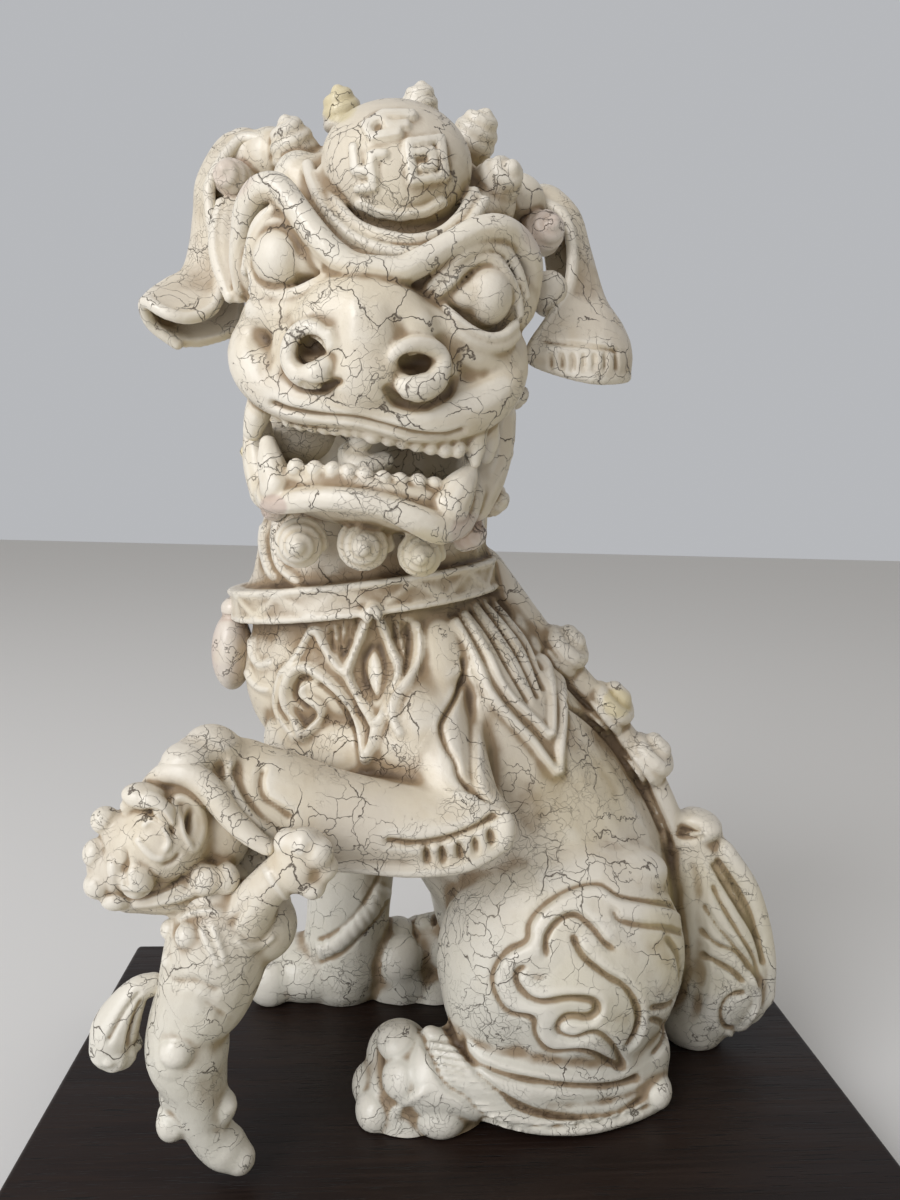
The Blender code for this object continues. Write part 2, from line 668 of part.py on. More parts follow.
def build():
    """Make every piece, then give each casting its joints, its flat sole and its screw hole."""
    plinth()
    foot_pads()
    for index, place in enumerate(screw_places(), 1):
        screw(index, place)

    def casting(name, lumps, voxel, faces):
        return into_group(blend(lumps, voxel, faces), name, IVORY)

    body = casting("torso", torso(), 1.8, 1600)
    head = casting("head", skull(), 1.0, 3300)
    lower = casting("lower_jaw", jaw(), 1.0, 1000)
    licker = casting("tongue", tongue(), 0.8, 120)
    left_ear = casting("ear_left", ear(1), 0.9, 320)
    right_ear = casting("ear_right", ear(-1), 0.9, 320)
    ringer = casting("bell", bell(), 1.0, 120)
    raised = casting("raised_foreleg", raised_foreleg(), 1.1, 1300)
    standing = casting("standing_foreleg", standing_foreleg(), 1.3, 600)
    near = casting("hind_leg_left", hind_leg(True), 1.2, 1200)
    far = casting("hind_leg_right", hind_leg(False), 1.4, 700)
    far_side(far)
    brush = casting("tail", tail(), 1.3, 650)
    young = casting("cub", cub(), 0.9, 1000)
    young_head = casting("cub_head", cub_head(), 0.8, 800)
    young_tail = casting("cub_tail", cub_tail(), 0.7, 220)

    clear_of(lower, head)
    clear_of(licker, head, lower)
    clear_of(body, head, lower)
    for piece in (left_ear, right_ear):
        clear_of(piece, head)
    clear_of(ringer, body)
    for piece in (raised, standing, near, far):
        clear_of(piece, body)
    clear_of(raised, near)
    clear_of(standing, far)
    clear_of(brush, body, near, far)
    clear_of(young, raised)
    clear_of(young_head, raised, young)
    clear_of(young_tail, young)
    for piece in (body, standing, near, far, brush, young):
        stand_flat(piece)
    for piece in (near, standing, body):
        tapped(piece)
    for obj in GROUPS["guardian_lion"].objects:
        obj.data.shade_smooth()
        obj.data.set_sharp_from_angle(angle=math.radians(SHARP_ANGLE))


build()
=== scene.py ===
"""The looks of the guardian lion figurine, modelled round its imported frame.

Metres and the frame's own axes. Sculpted sizes are in millimetres. The lion is pressed together
from clay lumps, carved along rows of points in the photograph's 900 x 1200 pixels, cut into its
castings, and finished as old ivory with a crackled skin.
"""

import json
import math

import bpy
import numpy as np
from mathutils import Euler, Matrix, Vector

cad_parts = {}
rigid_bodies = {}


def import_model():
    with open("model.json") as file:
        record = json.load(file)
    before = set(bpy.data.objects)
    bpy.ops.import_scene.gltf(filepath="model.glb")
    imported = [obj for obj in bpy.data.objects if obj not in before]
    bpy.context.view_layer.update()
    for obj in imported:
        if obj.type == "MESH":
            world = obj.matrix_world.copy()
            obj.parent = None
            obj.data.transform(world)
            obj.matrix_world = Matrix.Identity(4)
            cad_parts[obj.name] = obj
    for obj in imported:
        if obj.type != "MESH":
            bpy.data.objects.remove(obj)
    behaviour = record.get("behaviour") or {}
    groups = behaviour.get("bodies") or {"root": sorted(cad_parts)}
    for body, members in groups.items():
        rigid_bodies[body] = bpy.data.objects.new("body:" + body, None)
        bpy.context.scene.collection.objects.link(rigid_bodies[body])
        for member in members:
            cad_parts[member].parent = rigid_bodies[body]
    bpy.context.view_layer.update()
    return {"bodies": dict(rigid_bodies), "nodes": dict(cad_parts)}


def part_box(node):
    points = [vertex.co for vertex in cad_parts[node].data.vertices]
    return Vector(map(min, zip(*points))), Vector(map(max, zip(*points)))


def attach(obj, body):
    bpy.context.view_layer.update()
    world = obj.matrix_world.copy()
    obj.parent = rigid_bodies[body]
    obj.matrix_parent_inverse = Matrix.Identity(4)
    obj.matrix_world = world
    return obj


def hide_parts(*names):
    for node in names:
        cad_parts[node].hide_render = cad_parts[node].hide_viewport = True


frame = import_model()

MM = 0.001
BODY = list(frame["bodies"])[0]

# The photograph: its size and focal length in pixels, and where its camera stands
PHOTO_WIDTH = 900
PHOTO_HEIGHT = 1200
FOCAL_PIXELS = 880.0
SENSOR = 36.0
CAMERA_PLACE = Vector((-19.5, -214.5, 169.6))
CAMERA_YAW = math.radians(3.95)
CAMERA_PITCH = math.radians(-6.24)
CAMERA_ROLL = math.radians(1.58)

# The castings' places, as in the frame
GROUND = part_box("torso")[0].z / MM
MIDDLE = 14.0
CHEST = Vector((-25.0, MIDDLE, GROUND + 104.0))
RUMP = Vector((33.0, MIDDLE, GROUND + 28.0))
HAUNCH = Vector((24.5, MIDDLE - 24.0, GROUND + 37.0))
FORELEG = Vector((-30.0, MIDDLE + 26.0, GROUND))
COLLAR = CHEST + Vector((-1.0, 0.0, 21.0))
COLLAR_SIZE = Vector((68.0, 62.0, 8.0))
COLLAR_TILT = -8.0
HEAD = COLLAR + Vector((4.0, -16.0, 66.0))
HEAD_TURN = 8.5
HEAD_SCALE = 65.0 / 63.0


def camera_axes():
    """The camera's right, up and forward directions."""
    level = math.cos(CAMERA_PITCH)
    forward = Vector((math.sin(CAMERA_YAW) * level, math.cos(CAMERA_YAW) * level, math.sin(CAMERA_PITCH)))
    flat = Vector((math.cos(CAMERA_YAW), -math.sin(CAMERA_YAW), 0.0))
    upright = flat.cross(forward)
    right = math.cos(CAMERA_ROLL) * flat + math.sin(CAMERA_ROLL) * upright
    up = math.cos(CAMERA_ROLL) * upright - math.sin(CAMERA_ROLL) * flat
    return right, up, forward


RIGHT, UP, FORWARD = camera_axes()


def camera():
    """The photograph's camera."""
    lens = bpy.data.cameras.new("camera")
    lens.sensor_width = SENSOR
    lens.lens = SENSOR * FOCAL_PIXELS / PHOTO_HEIGHT
    lens.clip_start = 0.01
    eye = bpy.data.objects.new("camera", lens)
    bpy.context.scene.collection.objects.link(eye)
    turn = Matrix((RIGHT, UP, -FORWARD)).transposed().to_4x4()
    eye.matrix_world = Matrix.Translation(CAMERA_PLACE * MM) @ turn
    bpy.context.scene.camera = eye


def seen(px, py, depth):
    """The point on a photo pixel's line of sight that lies at that Y, in millimetres."""
    across = (px - PHOTO_WIDTH / 2) / FOCAL_PIXELS
    fall = (py - PHOTO_HEIGHT / 2) / FOCAL_PIXELS
    ray = FORWARD + RIGHT * across - UP * fall
    return CAMERA_PLACE + ray * ((depth - CAMERA_PLACE.y) / ray.y)


def drawn(points):
    """Where points show in the photograph, and how many pixels a millimetre is there."""
    away = points - np.array(CAMERA_PLACE)
    depth = away @ np.array(FORWARD)
    across = FOCAL_PIXELS * (away @ np.array(RIGHT)) / depth
    rise = FOCAL_PIXELS * (away @ np.array(UP)) / depth
    return np.stack([PHOTO_WIDTH / 2 + across, PHOTO_HEIGHT / 2 - rise], 1), FOCAL_PIXELS / depth


# Clay: the lumps that a form is pressed together from


def alone(*objects):
    """Select these objects only, the first of them active."""
    for other in bpy.context.selected_objects:
        other.select_set(False)
    for obj in objects:
        obj.select_set(True)
    bpy.context.view_layer.objects.active = objects[0]
    return objects[0]


def apply_all(obj):
    """Apply the object's modifiers in turn."""
    alone(obj)
    for modifier in list(obj.modifiers):
        bpy.ops.object.modifier_apply(modifier=modifier.name)
    return obj


def join(lumps):
    """One object with the skins of all the lumps."""
    alone(*lumps)
    if len(lumps) > 1:
        bpy.ops.object.join()
    return bpy.context.object


def ball(centre, radii, turn=(0, 0, 0), segments=32):
    """An ellipsoid, turned by three angles in degrees."""
    bpy.ops.mesh.primitive_uv_sphere_add(segments=segments, ring_count=segments // 2)
    obj = bpy.context.object
    radii = radii if hasattr(radii, "__len__") else (radii,) * 3
    angles = Euler([math.radians(a) for a in turn])
    obj.data.transform(Matrix.LocRotScale(Vector(centre) * MM, angles, Vector(radii) * MM))
    return obj


def smooth_path(rows, per_span):
    """Points on a smooth curve through the rows, whose every column is smoothed alike."""
    p = np.array(rows, float)
    p = np.vstack([2 * p[0] - p[1], p, 2 * p[-1] - p[-2]])
    path = []
    for a, b, c, d in zip(p, p[1:], p[2:], p[3:]):
        for t in np.arange(per_span) / per_span:
            bend = (2 * a - 5 * b + 4 * c - d) * t**2 + (3 * b - a - 3 * c + d) * t**3
            path.append(b + 0.5 * ((c - a) * t + bend))
    path.append(p[-2])
    return np.array(path)


def limb(rows, per_span=6, sides=7):
    """A round-ended tube along rows of x, y, z and radius."""
    path = smooth_path(rows, per_span)
    curve = bpy.data.curves.new("limb", "CURVE")
    curve.dimensions = "3D"
    curve.bevel_depth = MM
    curve.bevel_resolution = sides
    curve.use_fill_caps = True
    line = curve.splines.new("POLY")
    line.points.add(len(path) - 1)
    for point, (x, y, z, radius) in zip(line.points, path):
        point.co = (x * MM, y * MM, z * MM, 1.0)
        point.radius = max(radius, 0.1)
    tube = bpy.data.objects.new("limb", curve)
    bpy.context.scene.collection.objects.link(tube)
    alone(tube)
    bpy.ops.object.convert(target="MESH")
    ends = [ball(path[k][:3], max(path[k][3], 0.1), segments=16) for k in (0, -1)]
    return join([tube, *ends])


def snail(centre, outward, radius, half, turns=3.4, fullness=2.2, slope=0.5):
    """A curl of hair: a roll wound up a beehive, rounder the higher its fullness, a cone at a slope of 1."""
    tube = half / turns * 0.98
    steps = round(14 * turns)

    def around(t):
        return (radius - tube) * (1 - t**fullness) ** slope

    def up(t):
        return (half - tube) * (2 * t - 1)

    coil = []
    for i in range(steps + 1):
        t = i / steps
        angle = t * turns * math.tau
        coil.append((around(t) * math.cos(angle), around(t) * math.sin(angle), up(t), tube))
    core = [(0, 0, -half * 1.5, radius - 2 * tube)]
    core += [(0, 0, up(t), around(t) + 0.15 * tube) for t in (0, 0.2, 0.4, 0.6, 0.75, 0.88)]
    made = join([limb(core, 3, 5), limb(coil, 1, 3)])
    tilt = Vector((0, 0, 1)).rotation_difference(Vector(outward).normalized())
    made.data.transform(Matrix.Translation(Vector(centre) * MM) @ tilt.to_matrix().to_4x4())
    return made


def sheet(rows, thickness):
    """A curved sheet through rows of points, from its top edge to its bottom edge."""
    across = [smooth_path(row, 5) for row in rows]
    grid = [smooth_path(column, 5) for column in np.swapaxes(np.array(across), 0, 1)]
    high = len(grid[0])
    verts = [Vector(p) * MM for column in grid for p in column]
    faces = []
    for i in range(len(grid) - 1):
        for k in range(high - 1):
            corner = i * high + k
            faces.append((corner, corner + 1, corner + high + 1, corner + high))
    mesh = bpy.data.meshes.new("sheet")
    mesh.from_pydata(verts, [], faces)
    obj = bpy.data.objects.new("sheet", mesh)
    bpy.context.scene.collection.objects.link(obj)
    shell = obj.modifiers.new("shell", "SOLIDIFY")
    shell.thickness = thickness * MM
    shell.offset = 0.0
    return apply_all(obj)


def moved(lumps, by):
    """The lumps, carried by that many millimetres."""
    for lump in lumps:
        lump.data.transform(Matrix.Translation(Vector(by) * MM))
    return lumps


def as_head(lumps):
    """From the head's own frame to the lion's."""
    angles = Euler((0, math.radians(HEAD_TURN), 0))
    place = Matrix.LocRotScale(HEAD * MM, angles, Vector((HEAD_SCALE,) * 3))
    for lump in lumps:
        lump.data.transform(place)
    return lumps


def spot(row, radii, turn=(0, 0, 0)):
    """A ball at a photo pixel and depth."""
    return ball(seen(*row), radii, turn)


def roll(rows, per_span=4, sides=3):
    """A round-ended roll along rows of photo pixel, depth and radius."""
    return limb([(*seen(px, py, depth), radius) for px, py, depth, radius in rows], per_span, sides)


def formed(forms):
    """A roll for each form that is a list of rows, and a ball for each that is a place and radii."""
    return [roll(form) if isinstance(form, list) else spot(*form) for form in forms]


def curls(rows):
    """Curls of hair at photo pixels and depths, each with its direction and sizes."""
    return [snail(seen(*place), *form) for place, *form in rows]


# How finely the clays are pressed: their soft masses first, then their whole skins
BODY_MASS_VOXEL = 1.0
HEAD_MASS_VOXEL = 0.9
CUB_MASS_VOXEL = 0.7
BODY_VOXEL = 0.62
FINE_VOXEL = 0.5
CUB_VOXEL = 0.45
CUB_HEAD_VOXEL = 0.4
MASS_SOFTENING = 7
CUB_SOFTENING = 4


def softened(obj, times=1):
    """Smooth a skin a little."""
    soft = obj.modifiers.new("soften", "SMOOTH")
    soft.factor = 0.5
    soft.iterations = times
    return apply_all(obj)


def press(lumps, voxel=FINE_VOXEL, soften=2):
    """Press lumps into one skin."""
    obj = join(lumps)
    skin = obj.modifiers.new("skin", "REMESH")
    skin.mode = "VOXEL"
    skin.voxel_size = voxel * MM
    skin.use_smooth_shade = True
    return softened(obj, soften)


# Carving: lines drawn over the photograph that are raised from a skin or cut into it


def soft_step(t):
    """From 0 to 1 without a corner at either end."""
    t = np.clip(t, 0, 1)
    return t * t * (3 - 2 * t)


class Carving:
    """A clay's skin as arrays, and how far each point of it is to be lifted."""

    def __init__(self, obj):
        self.obj = obj
        count = len(obj.data.vertices)
        self.place = np.empty(count * 3)
        obj.data.vertices.foreach_get("co", self.place)
        self.place = self.place.reshape(-1, 3) / MM
        self.facing = np.empty(count * 3)
        obj.data.vertex_normals.foreach_get("vector", self.facing)
        self.facing = self.facing.reshape(-1, 3)
        self.lift = np.zeros(count)
        self.look(False)

    def look(self, turned):
        """Take the drawn lines as seen, or turned over to the far side."""
        place = self.place.copy()
        facing = self.facing.copy()
        if turned:
            place[:, 1] = 2 * MIDDLE - place[:, 1]
            facing[:, 1] *= -1
        self.depth = place[:, 1]
        self.pixel, self.scale = drawn(place)
        toward = np.array(CAMERA_PLACE) - place
        self.seen = np.einsum("ij,ij->i", toward, facing) > 0

    def near_line(self, rows, reach, limits):
        """Points within reach of a line: which they are, how far off and to which side, and how far along."""
        path = smooth_path(rows, 5)
        low = path.min(0)
        high = path.max(0)
        margin = reach * 6.0
        inside = np.all((self.pixel > low - margin) & (self.pixel < high + margin), 1)
        inside &= self.seen & (self.depth > limits[0]) & (self.depth < limits[1])
        which = np.nonzero(inside)[0]
        point = self.pixel[which]
        best = np.full(len(which), 1e9)
        side = np.zeros(len(which))
        along = np.zeros(len(which))
        spans = np.linalg.norm(np.diff(path, axis=0), axis=1)
        total = spans.sum()
        gone = 0.0
        for a, b, span in zip(path, path[1:], spans):
            if span == 0:
                continue
            way = (b - a) / span
            off = point - a
            t = np.clip(off @ way, 0, span)
            gap = off - t[:, None] * way
            distance = np.linalg.norm(gap, axis=1)
            closer = distance < best
            best[closer] = distance[closer]
            side[closer] = (way[0] * off[:, 1] - way[1] * off[:, 0])[closer]
            along[closer] = (gone + t)[closer]
            gone += span
        scale = self.scale[which]
        return which, best / scale, side / scale, along / scale, (total - along) / scale

    def ridge(self, rows, width, height, limits, ends=1.5):
        """A round ridge along a line, or a groove if its height is negative."""
        which, off, _, start, end = self.near_line(rows, 3 * width, limits)
        fade = soft_step(start / ends + 0.2) * soft_step(end / ends + 0.2)
        shape = np.exp(-((off / width) ** 2) * (1.0 + (off / width) ** 2))
        self.lift[which] += height * shape * fade

    def ridges(self, lines, width, height, limits, ends=1.5):
        """Lines that are raised or cut alike."""
        for rows in lines:
            self.ridge(rows, width, height, limits, ends)

    def bank(self, rows, width, height, reach, limits, ends=3.0):
        """A step along a line: the skin on the line's right rises, and falls away again within reach."""
        which, off, side, start, end = self.near_line(rows, reach * 2, limits)
        fade = soft_step(start / ends + 0.1) * soft_step(end / ends + 0.1)
        signed = np.where(side > 0, off, -off)
        shape = soft_step(signed / width + 0.5) * np.exp(-np.clip(off / reach, 0, None) ** 2)
        self.lift[which] += height * shape * fade

    def dent(self, px, py, half_width, half_height, height, limits, turn=0.0):
        """An oval boss round a pixel, or a dent if its height is negative."""
        off = self.pixel - np.array((px, py))
        angle = math.radians(turn)
        across = off @ np.array((math.cos(angle), math.sin(angle)))
        down = off @ np.array((-math.sin(angle), math.cos(angle)))
        reach = np.sqrt((across / half_width) ** 2 + (down / half_height) ** 2)
        chosen = (reach < 2.5) & self.seen & (self.depth > limits[0]) & (self.depth < limits[1])
        self.lift[chosen] += height * np.exp(-(reach[chosen] ** 2) * (0.6 + 0.8 * reach[chosen] ** 2))

    def fret(self, lines, width, height, limits):
        """Flat-topped ribs along straight lines, as high where they meet as elsewhere."""
        rise = np.zeros(len(self.lift))
        for rows in lines:
            for a, b in zip(rows, rows[1:]):
                which, off, *_ = self.near_line([a, b], 2 * width, limits)
                rise[which] = np.maximum(rise[which], soft_step((1.25 * width - off) / (0.5 * width)))
        self.lift += height * rise

    def done(self):
        """Move the skin by what was carved."""
        place = (self.place + self.facing * self.lift[:, None]) * MM
        self.obj.data.vertices.foreach_set("co", place.ravel())
        self.obj.data.update()
        return self.obj


def smoothed(values, edges, times):
    """Values of a skin's points, evened out over its edges that many times."""
    count = len(values)
    a, b = edges.T
    share = np.maximum(np.bincount(a, minlength=count) + np.bincount(b, minlength=count), 1)
    for _ in range(times):
        total = np.empty_like(values)
        for k in range(values.shape[1]):
            column = values[:, k]
            total[:, k] = np.bincount(a, column[b], count) + np.bincount(b, column[a], count)
        values = 0.35 * values + 0.65 * total / share[:, None]
    return values


def edges_of(obj):
    """A skin's edges as pairs of point numbers."""
    edges = np.empty(2 * len(obj.data.edges), np.int32)
    obj.data.edges.foreach_get("vertices", edges)
    return edges.reshape(-1, 2)


def note(obj, name, values):
    """Keep a value for each point of a skin, for its finish."""
    kept = obj.data.attributes.get(name) or obj.data.attributes.new(name, "FLOAT", "POINT")
    kept.data.foreach_set("value", values.astype(np.float32))


def noted(obj, name):
    """The values that were kept for a skin's points."""
    values = np.empty(len(obj.data.vertices), np.float32)
    obj.data.attributes[name].data.foreach_get("value", values)
    return values


# The way that the side painted with shade faces, turned away from the light
SHADE_SIDE = (0.78, 0.0, -0.62)

# Passes over a skin that even out its fine forms and its broad ones, and how deep a full hollow is; the fine
# hollows take the brown wash, the broad ones painted shade
FINE_PASSES = 9
BROAD_PASSES = 70
FINE_HOLLOW = 0.24
BROAD_HOLLOW = 0.75


def weathered(obj, tints_and_shade=(), wash_and_shade_spots=()):
    """Note how hollow or worn each point is, which the paint shows as brown wash and painted shade, and where
    its tone differs.
    """
    skin = Carving(obj)
    edges = edges_of(obj)
    near = smoothed(skin.place, edges, FINE_PASSES)
    wide = smoothed(near, edges, BROAD_PASSES)
    fine = np.einsum("ij,ij->i", near - skin.place, skin.facing)
    broad = np.einsum("ij,ij->i", wide - skin.place, skin.facing)
    # Surfaces that face the shade side get painted shade: more brown and a warmer tone
    shade_side = np.clip(skin.facing @ np.array(SHADE_SIDE), 0, 1)
    # The fine term is the brown wash in grooves; the broad term is painted shade in large recesses
    hollow = np.clip(fine / FINE_HOLLOW, -1.0, 1.6) + np.clip((broad + 0.05) / BROAD_HOLLOW, -1.0, 1.8)
    hollow += 0.8 * shade_side
    tint_and_shade = 0.6 * shade_side
    # Listed spots add tints, more or less wash, and heavier or lighter painted shade
    for rows, noted_values in ((tints_and_shade, tint_and_shade), (wash_and_shade_spots, hollow)):
        for px, py, reach, strength in rows:
            off = np.linalg.norm(skin.pixel - np.array((px, py)), axis=1) / reach
            noted_values += strength * soft_step(2.5 * (1.2 - off)) * skin.seen
    # The hollow value carries the brown wash and the painted shade together
    note(obj, "hollow", smoothed(hollow[:, None], edges, 2)[:, 0])
    note(obj, "tint_and_shade", tint_and_shade)
    note(obj, "whole", np.ones(len(hollow)))
    return obj


def healed(obj):
    """Points that a cut made take their values from their neighbours."""
    edges = edges_of(obj)
    a, b = edges.T
    known = noted(obj, "whole")
    for _ in range(3):
        count = len(known)
        share = np.bincount(a, known[b], count) + np.bincount(b, known[a], count)
        fresh = (known < 0.5) & (share > 0)
        for name in ("hollow", "tint_and_shade"):
            values = noted(obj, name)
            total = np.bincount(a, (values * known)[b], count) + np.bincount(b, (values * known)[a], count)
            note(obj, name, np.where(fresh, total / np.maximum(share, 1e-6), values))
        known = np.where(fresh, 1.0, known)
    return obj


# Lines drawn on the chest: a lozenge in a frame, a leaf with a scroll, and feathers

CHEST_LIMITS = (-32, 16)
LOZENGE_LEFT = [(372, 603), (366, 619), (359, 639), (352, 658), (348, 672), (354, 688), (365, 706),
                (378, 728)]
LOZENGE_RIGHT = [(373, 603), (379, 617), (385, 632), (392, 650), (400, 671), (394, 692), (386, 710),
                 (378, 728)]
LOZENGE_TAIL = [(378, 726), (374, 743), (367, 763)]
LOZENGE_LEAF = [(375, 641), (364, 664), (367, 681), (376, 698), (383, 682), (384, 665), (376, 643)]
LOZENGE_BOSS = (375, 668, 8, 24, 0.9)
SCROLL = [(367, 764), (362, 738), (357, 719), (348, 704), (337, 691), (322, 677), (310, 669), (299, 668),
          (290, 677), (285, 692), (288, 707), (294, 719), (299, 730), (304, 740)]
SCROLL_HOOK = [(305, 684), (303, 693), (311, 701), (319, 706), (322, 714), (318, 723), (310, 731), (302, 741)]
SCROLL_HOLLOW = [(312, 678), (301, 679), (296, 687), (296, 697), (303, 703), (311, 709)]
SCROLL_UNDER = [(318, 682), (332, 693), (343, 704), (351, 716), (356, 730), (359, 748)]
SCROLL_OUTER = [(284, 669), (279, 681), (276, 695), (277, 709), (283, 722), (291, 734), (297, 742)]
LEAF_LEFT = [(314, 626), (306, 640), (298, 655), (289, 666), (281, 675)]
LEAF_RIGHT = [(315, 626), (321, 640), (328, 653), (337, 666), (348, 676)]
RIGHT_ARC = [(416, 621), (420, 644), (417, 664), (408, 681), (399, 696), (393, 713), (396, 726), (403, 738)]
RIGHT_ARC_INNER = [(407, 622), (410, 644), (406, 664), (398, 684), (390, 700), (384, 716)]
LEFT_ARC = [(252, 637), (253, 655), (261, 665), (273, 661)]
LEFT_ARC_LOW = [(247, 668), (252, 680), (261, 688), (272, 690)]
CHEST_FEATHERS = (
    [(340, 623), (340, 640), (343, 660)],
    [(349, 622), (347, 640), (347, 658)],
    [(332, 627), (332, 640), (335, 654)],
    [(358, 618), (354, 634), (350, 650)],
    [(393, 620), (398, 645), (404, 660)],
    [(401, 620), (405, 640), (408, 655)],
)
NECK_STRANDS = (
    [(277, 520), (275, 544), (281, 567), (302, 586)],
    [(265, 523), (263, 544), (268, 567), (277, 580)],
)

# Lines drawn on the flank: the pendant of feathers, the shoulder's flame and the spine's band

FLANK_LIMITS = (-32, 20)
PENDANT_LEFT = [(452, 618), (467, 642), (480, 669), (490, 693), (508, 716), (531, 740), (543, 756),
                (558, 776)]
PENDANT_LEFT_INNER = [(461, 611), (476, 634), (489, 657), (500, 681), (515, 701), (534, 719), (551, 738)]
PENDANT_RIGHT_INNER = [(539, 652), (546, 665), (551, 683), (552, 703), (552, 724), (551, 738)]
PENDANT_RIGHT = [(545, 650), (557, 672), (562, 699), (562, 722), (560, 745), (559, 776)]
PENDANT_FEATHERS = (
    [(469, 606), (490, 634), (508, 666), (530, 704)],
    [(480, 600), (500, 626), (520, 657), (540, 700)],
    [(488, 598), (508, 620), (528, 648), (545, 692)],
    [(497, 597), (514, 616), (532, 640), (545, 672)],
)
SPINE_BAND = [(541, 650), (566, 682), (594, 713), (620, 747), (645, 782), (666, 826), (672, 848)]
SPINE_BAND_LOW = [(563, 701), (585, 717), (606, 737), (624, 762), (645, 795), (664, 836)]
FLAME = [(463, 655), (465, 671), (461, 689), (450, 708), (442, 726), (446, 746), (455, 760), (460, 776),
         (474, 789)]
ARM_BACK = [(466, 668), (474, 690), (478, 716), (478, 748), (478, 777), (484, 795), (499, 813)]

# Lines drawn on the raised foreleg

ARM_LIMITS = (-46, -14)
FRINGE = [(384, 841), (418, 844), (450, 838), (478, 826), (498, 812)]
FRINGE_SLOTS = ((427, 855), (443, 854), (460, 851), (476, 845), (491, 837))
SLOT_SIZE = (4, 10, -1.4)
SLOT_TURN = -8
CUFF = [(231, 757), (228, 773), (232, 788), (240, 803), (252, 818), (266, 829), (280, 838)]
CUFF_LOW = [(264, 765), (260, 782), (264, 798), (277, 808), (294, 820)]

# Lines drawn on the haunch: a cloud scroll with its curling ends

HAUNCH_LIMITS = (-34, -2)
CLOUD = [(692, 926), (677, 909), (648, 903), (619, 897), (598, 885), (569, 891), (545, 906), (531, 923),
         (528, 941), (507, 953), (494, 973), (497, 994), (510, 1011), (534, 1017), (537, 1035), (551, 1049),
         (586, 1049), (610, 1061), (626, 1073)]
CLOUD_CURL = [(547, 958), (545, 938), (557, 920), (575, 914), (592, 926), (604, 941), (616, 951)]
CLOUD_SWEEP = [(572, 933), (583, 955), (604, 973), (627, 988), (639, 1011), (636, 1032), (622, 1049)]
CLOUD_TOP = [(610, 906), (619, 920), (645, 926), (665, 928), (689, 935)]
CLOUD_HOOK = [(528, 964), (517, 973), (522, 988), (539, 999), (569, 997), (592, 999), (598, 1008),
              (589, 1017), (566, 1017), (558, 1028), (572, 1035), (595, 1030), (613, 1043), (626, 1070)]
CLOUD_BACK = [(666, 935), (680, 958), (682, 988), (671, 1005), (645, 1008)]
CLOUD_FOOT = [(645, 1017), (660, 1022), (666, 1030), (663, 1043), (651, 1058)]

# Lines drawn on the hind foot

FOOT_LIMITS = (-34, 6)
RUFF_FRONT = [(421, 1029), (425, 1045), (433, 1060), (439, 1076), (448, 1089), (466, 1101), (479, 1116),
              (497, 1127), (530, 1131), (575, 1128), (620, 1119), (651, 1106)]
RUFF_BACK = [(460, 1036), (468, 1057), (483, 1078), (502, 1095), (524, 1108), (551, 1115), (584, 1116),
             (618, 1111), (645, 1098)]
RUFF_RIBS = 22
TOE_WEB = [(430, 1088), (414, 1098), (398, 1108), (390, 1124)]
HAUNCH_EDGE = [(441, 1012), (452, 1036), (472, 1058), (500, 1073), (540, 1083), (584, 1088), (618, 1086),
               (641, 1077)]

# Lines drawn on the standing foreleg: a strap with cross ribs

STRAP_LIMITS = (20, 41)
STRAP_TOP = [(316, 941), (333, 934), (354, 916), (368, 897), (380, 874)]
STRAP_MIDDLE = [(317, 952), (338, 943), (358, 925), (373, 907), (384, 886)]
STRAP_LOW = [(318, 963), (343, 952), (362, 934), (378, 917), (388, 898)]
STRAP_RIBS = 10

# Lines drawn on the tail

TAIL_LIMITS = (-14, 14)
TAIL_STRANDS = (
    [(712, 862), (726, 886), (741, 910), (756, 936), (764, 966)],
    [(712, 884), (724, 908), (739, 932), (755, 958), (762, 985)],
    [(704, 905), (716, 925), (734, 945), (752, 966), (760, 990)],
    [(699, 930), (716, 944), (738, 954), (752, 972)],
    [(700, 955), (716, 962), (733, 972), (745, 984)],
    [(716, 858), (733, 884), (749, 912), (761, 944)],
)
TAIL_HOLLOW = (691, 829, 12, 8, -2.5)
TAIL_TOP = [(676, 833), (684, 838), (695, 840), (706, 836)]
TAIL_VALLEY = [(690, 846), (696, 870), (700, 900), (701, 935), (700, 985), (694, 1030)]
TAIL_SCROLL = [(747, 993), (735, 995), (725, 1003), (721, 1016), (726, 1028), (737, 1029)]
TAIL_ROLL = [(751, 975), (757, 993), (754, 1011), (743, 1026), (727, 1036)]


def carved_body(body):
    """Carve the trunk's, legs' and tail's ornaments, on the near side and, turned over, on the far side."""
    skin = Carving(body)
    for turned in (False, True):
        skin.look(turned)
        carve_chest(skin)
        carve_flank(skin)
        carve_haunch(skin)
        carve_foot(skin)
        carve_tail(skin)
    skin.look(False)
    carve_arm(skin)
    carve_strap(skin)
    return softened(skin.done())


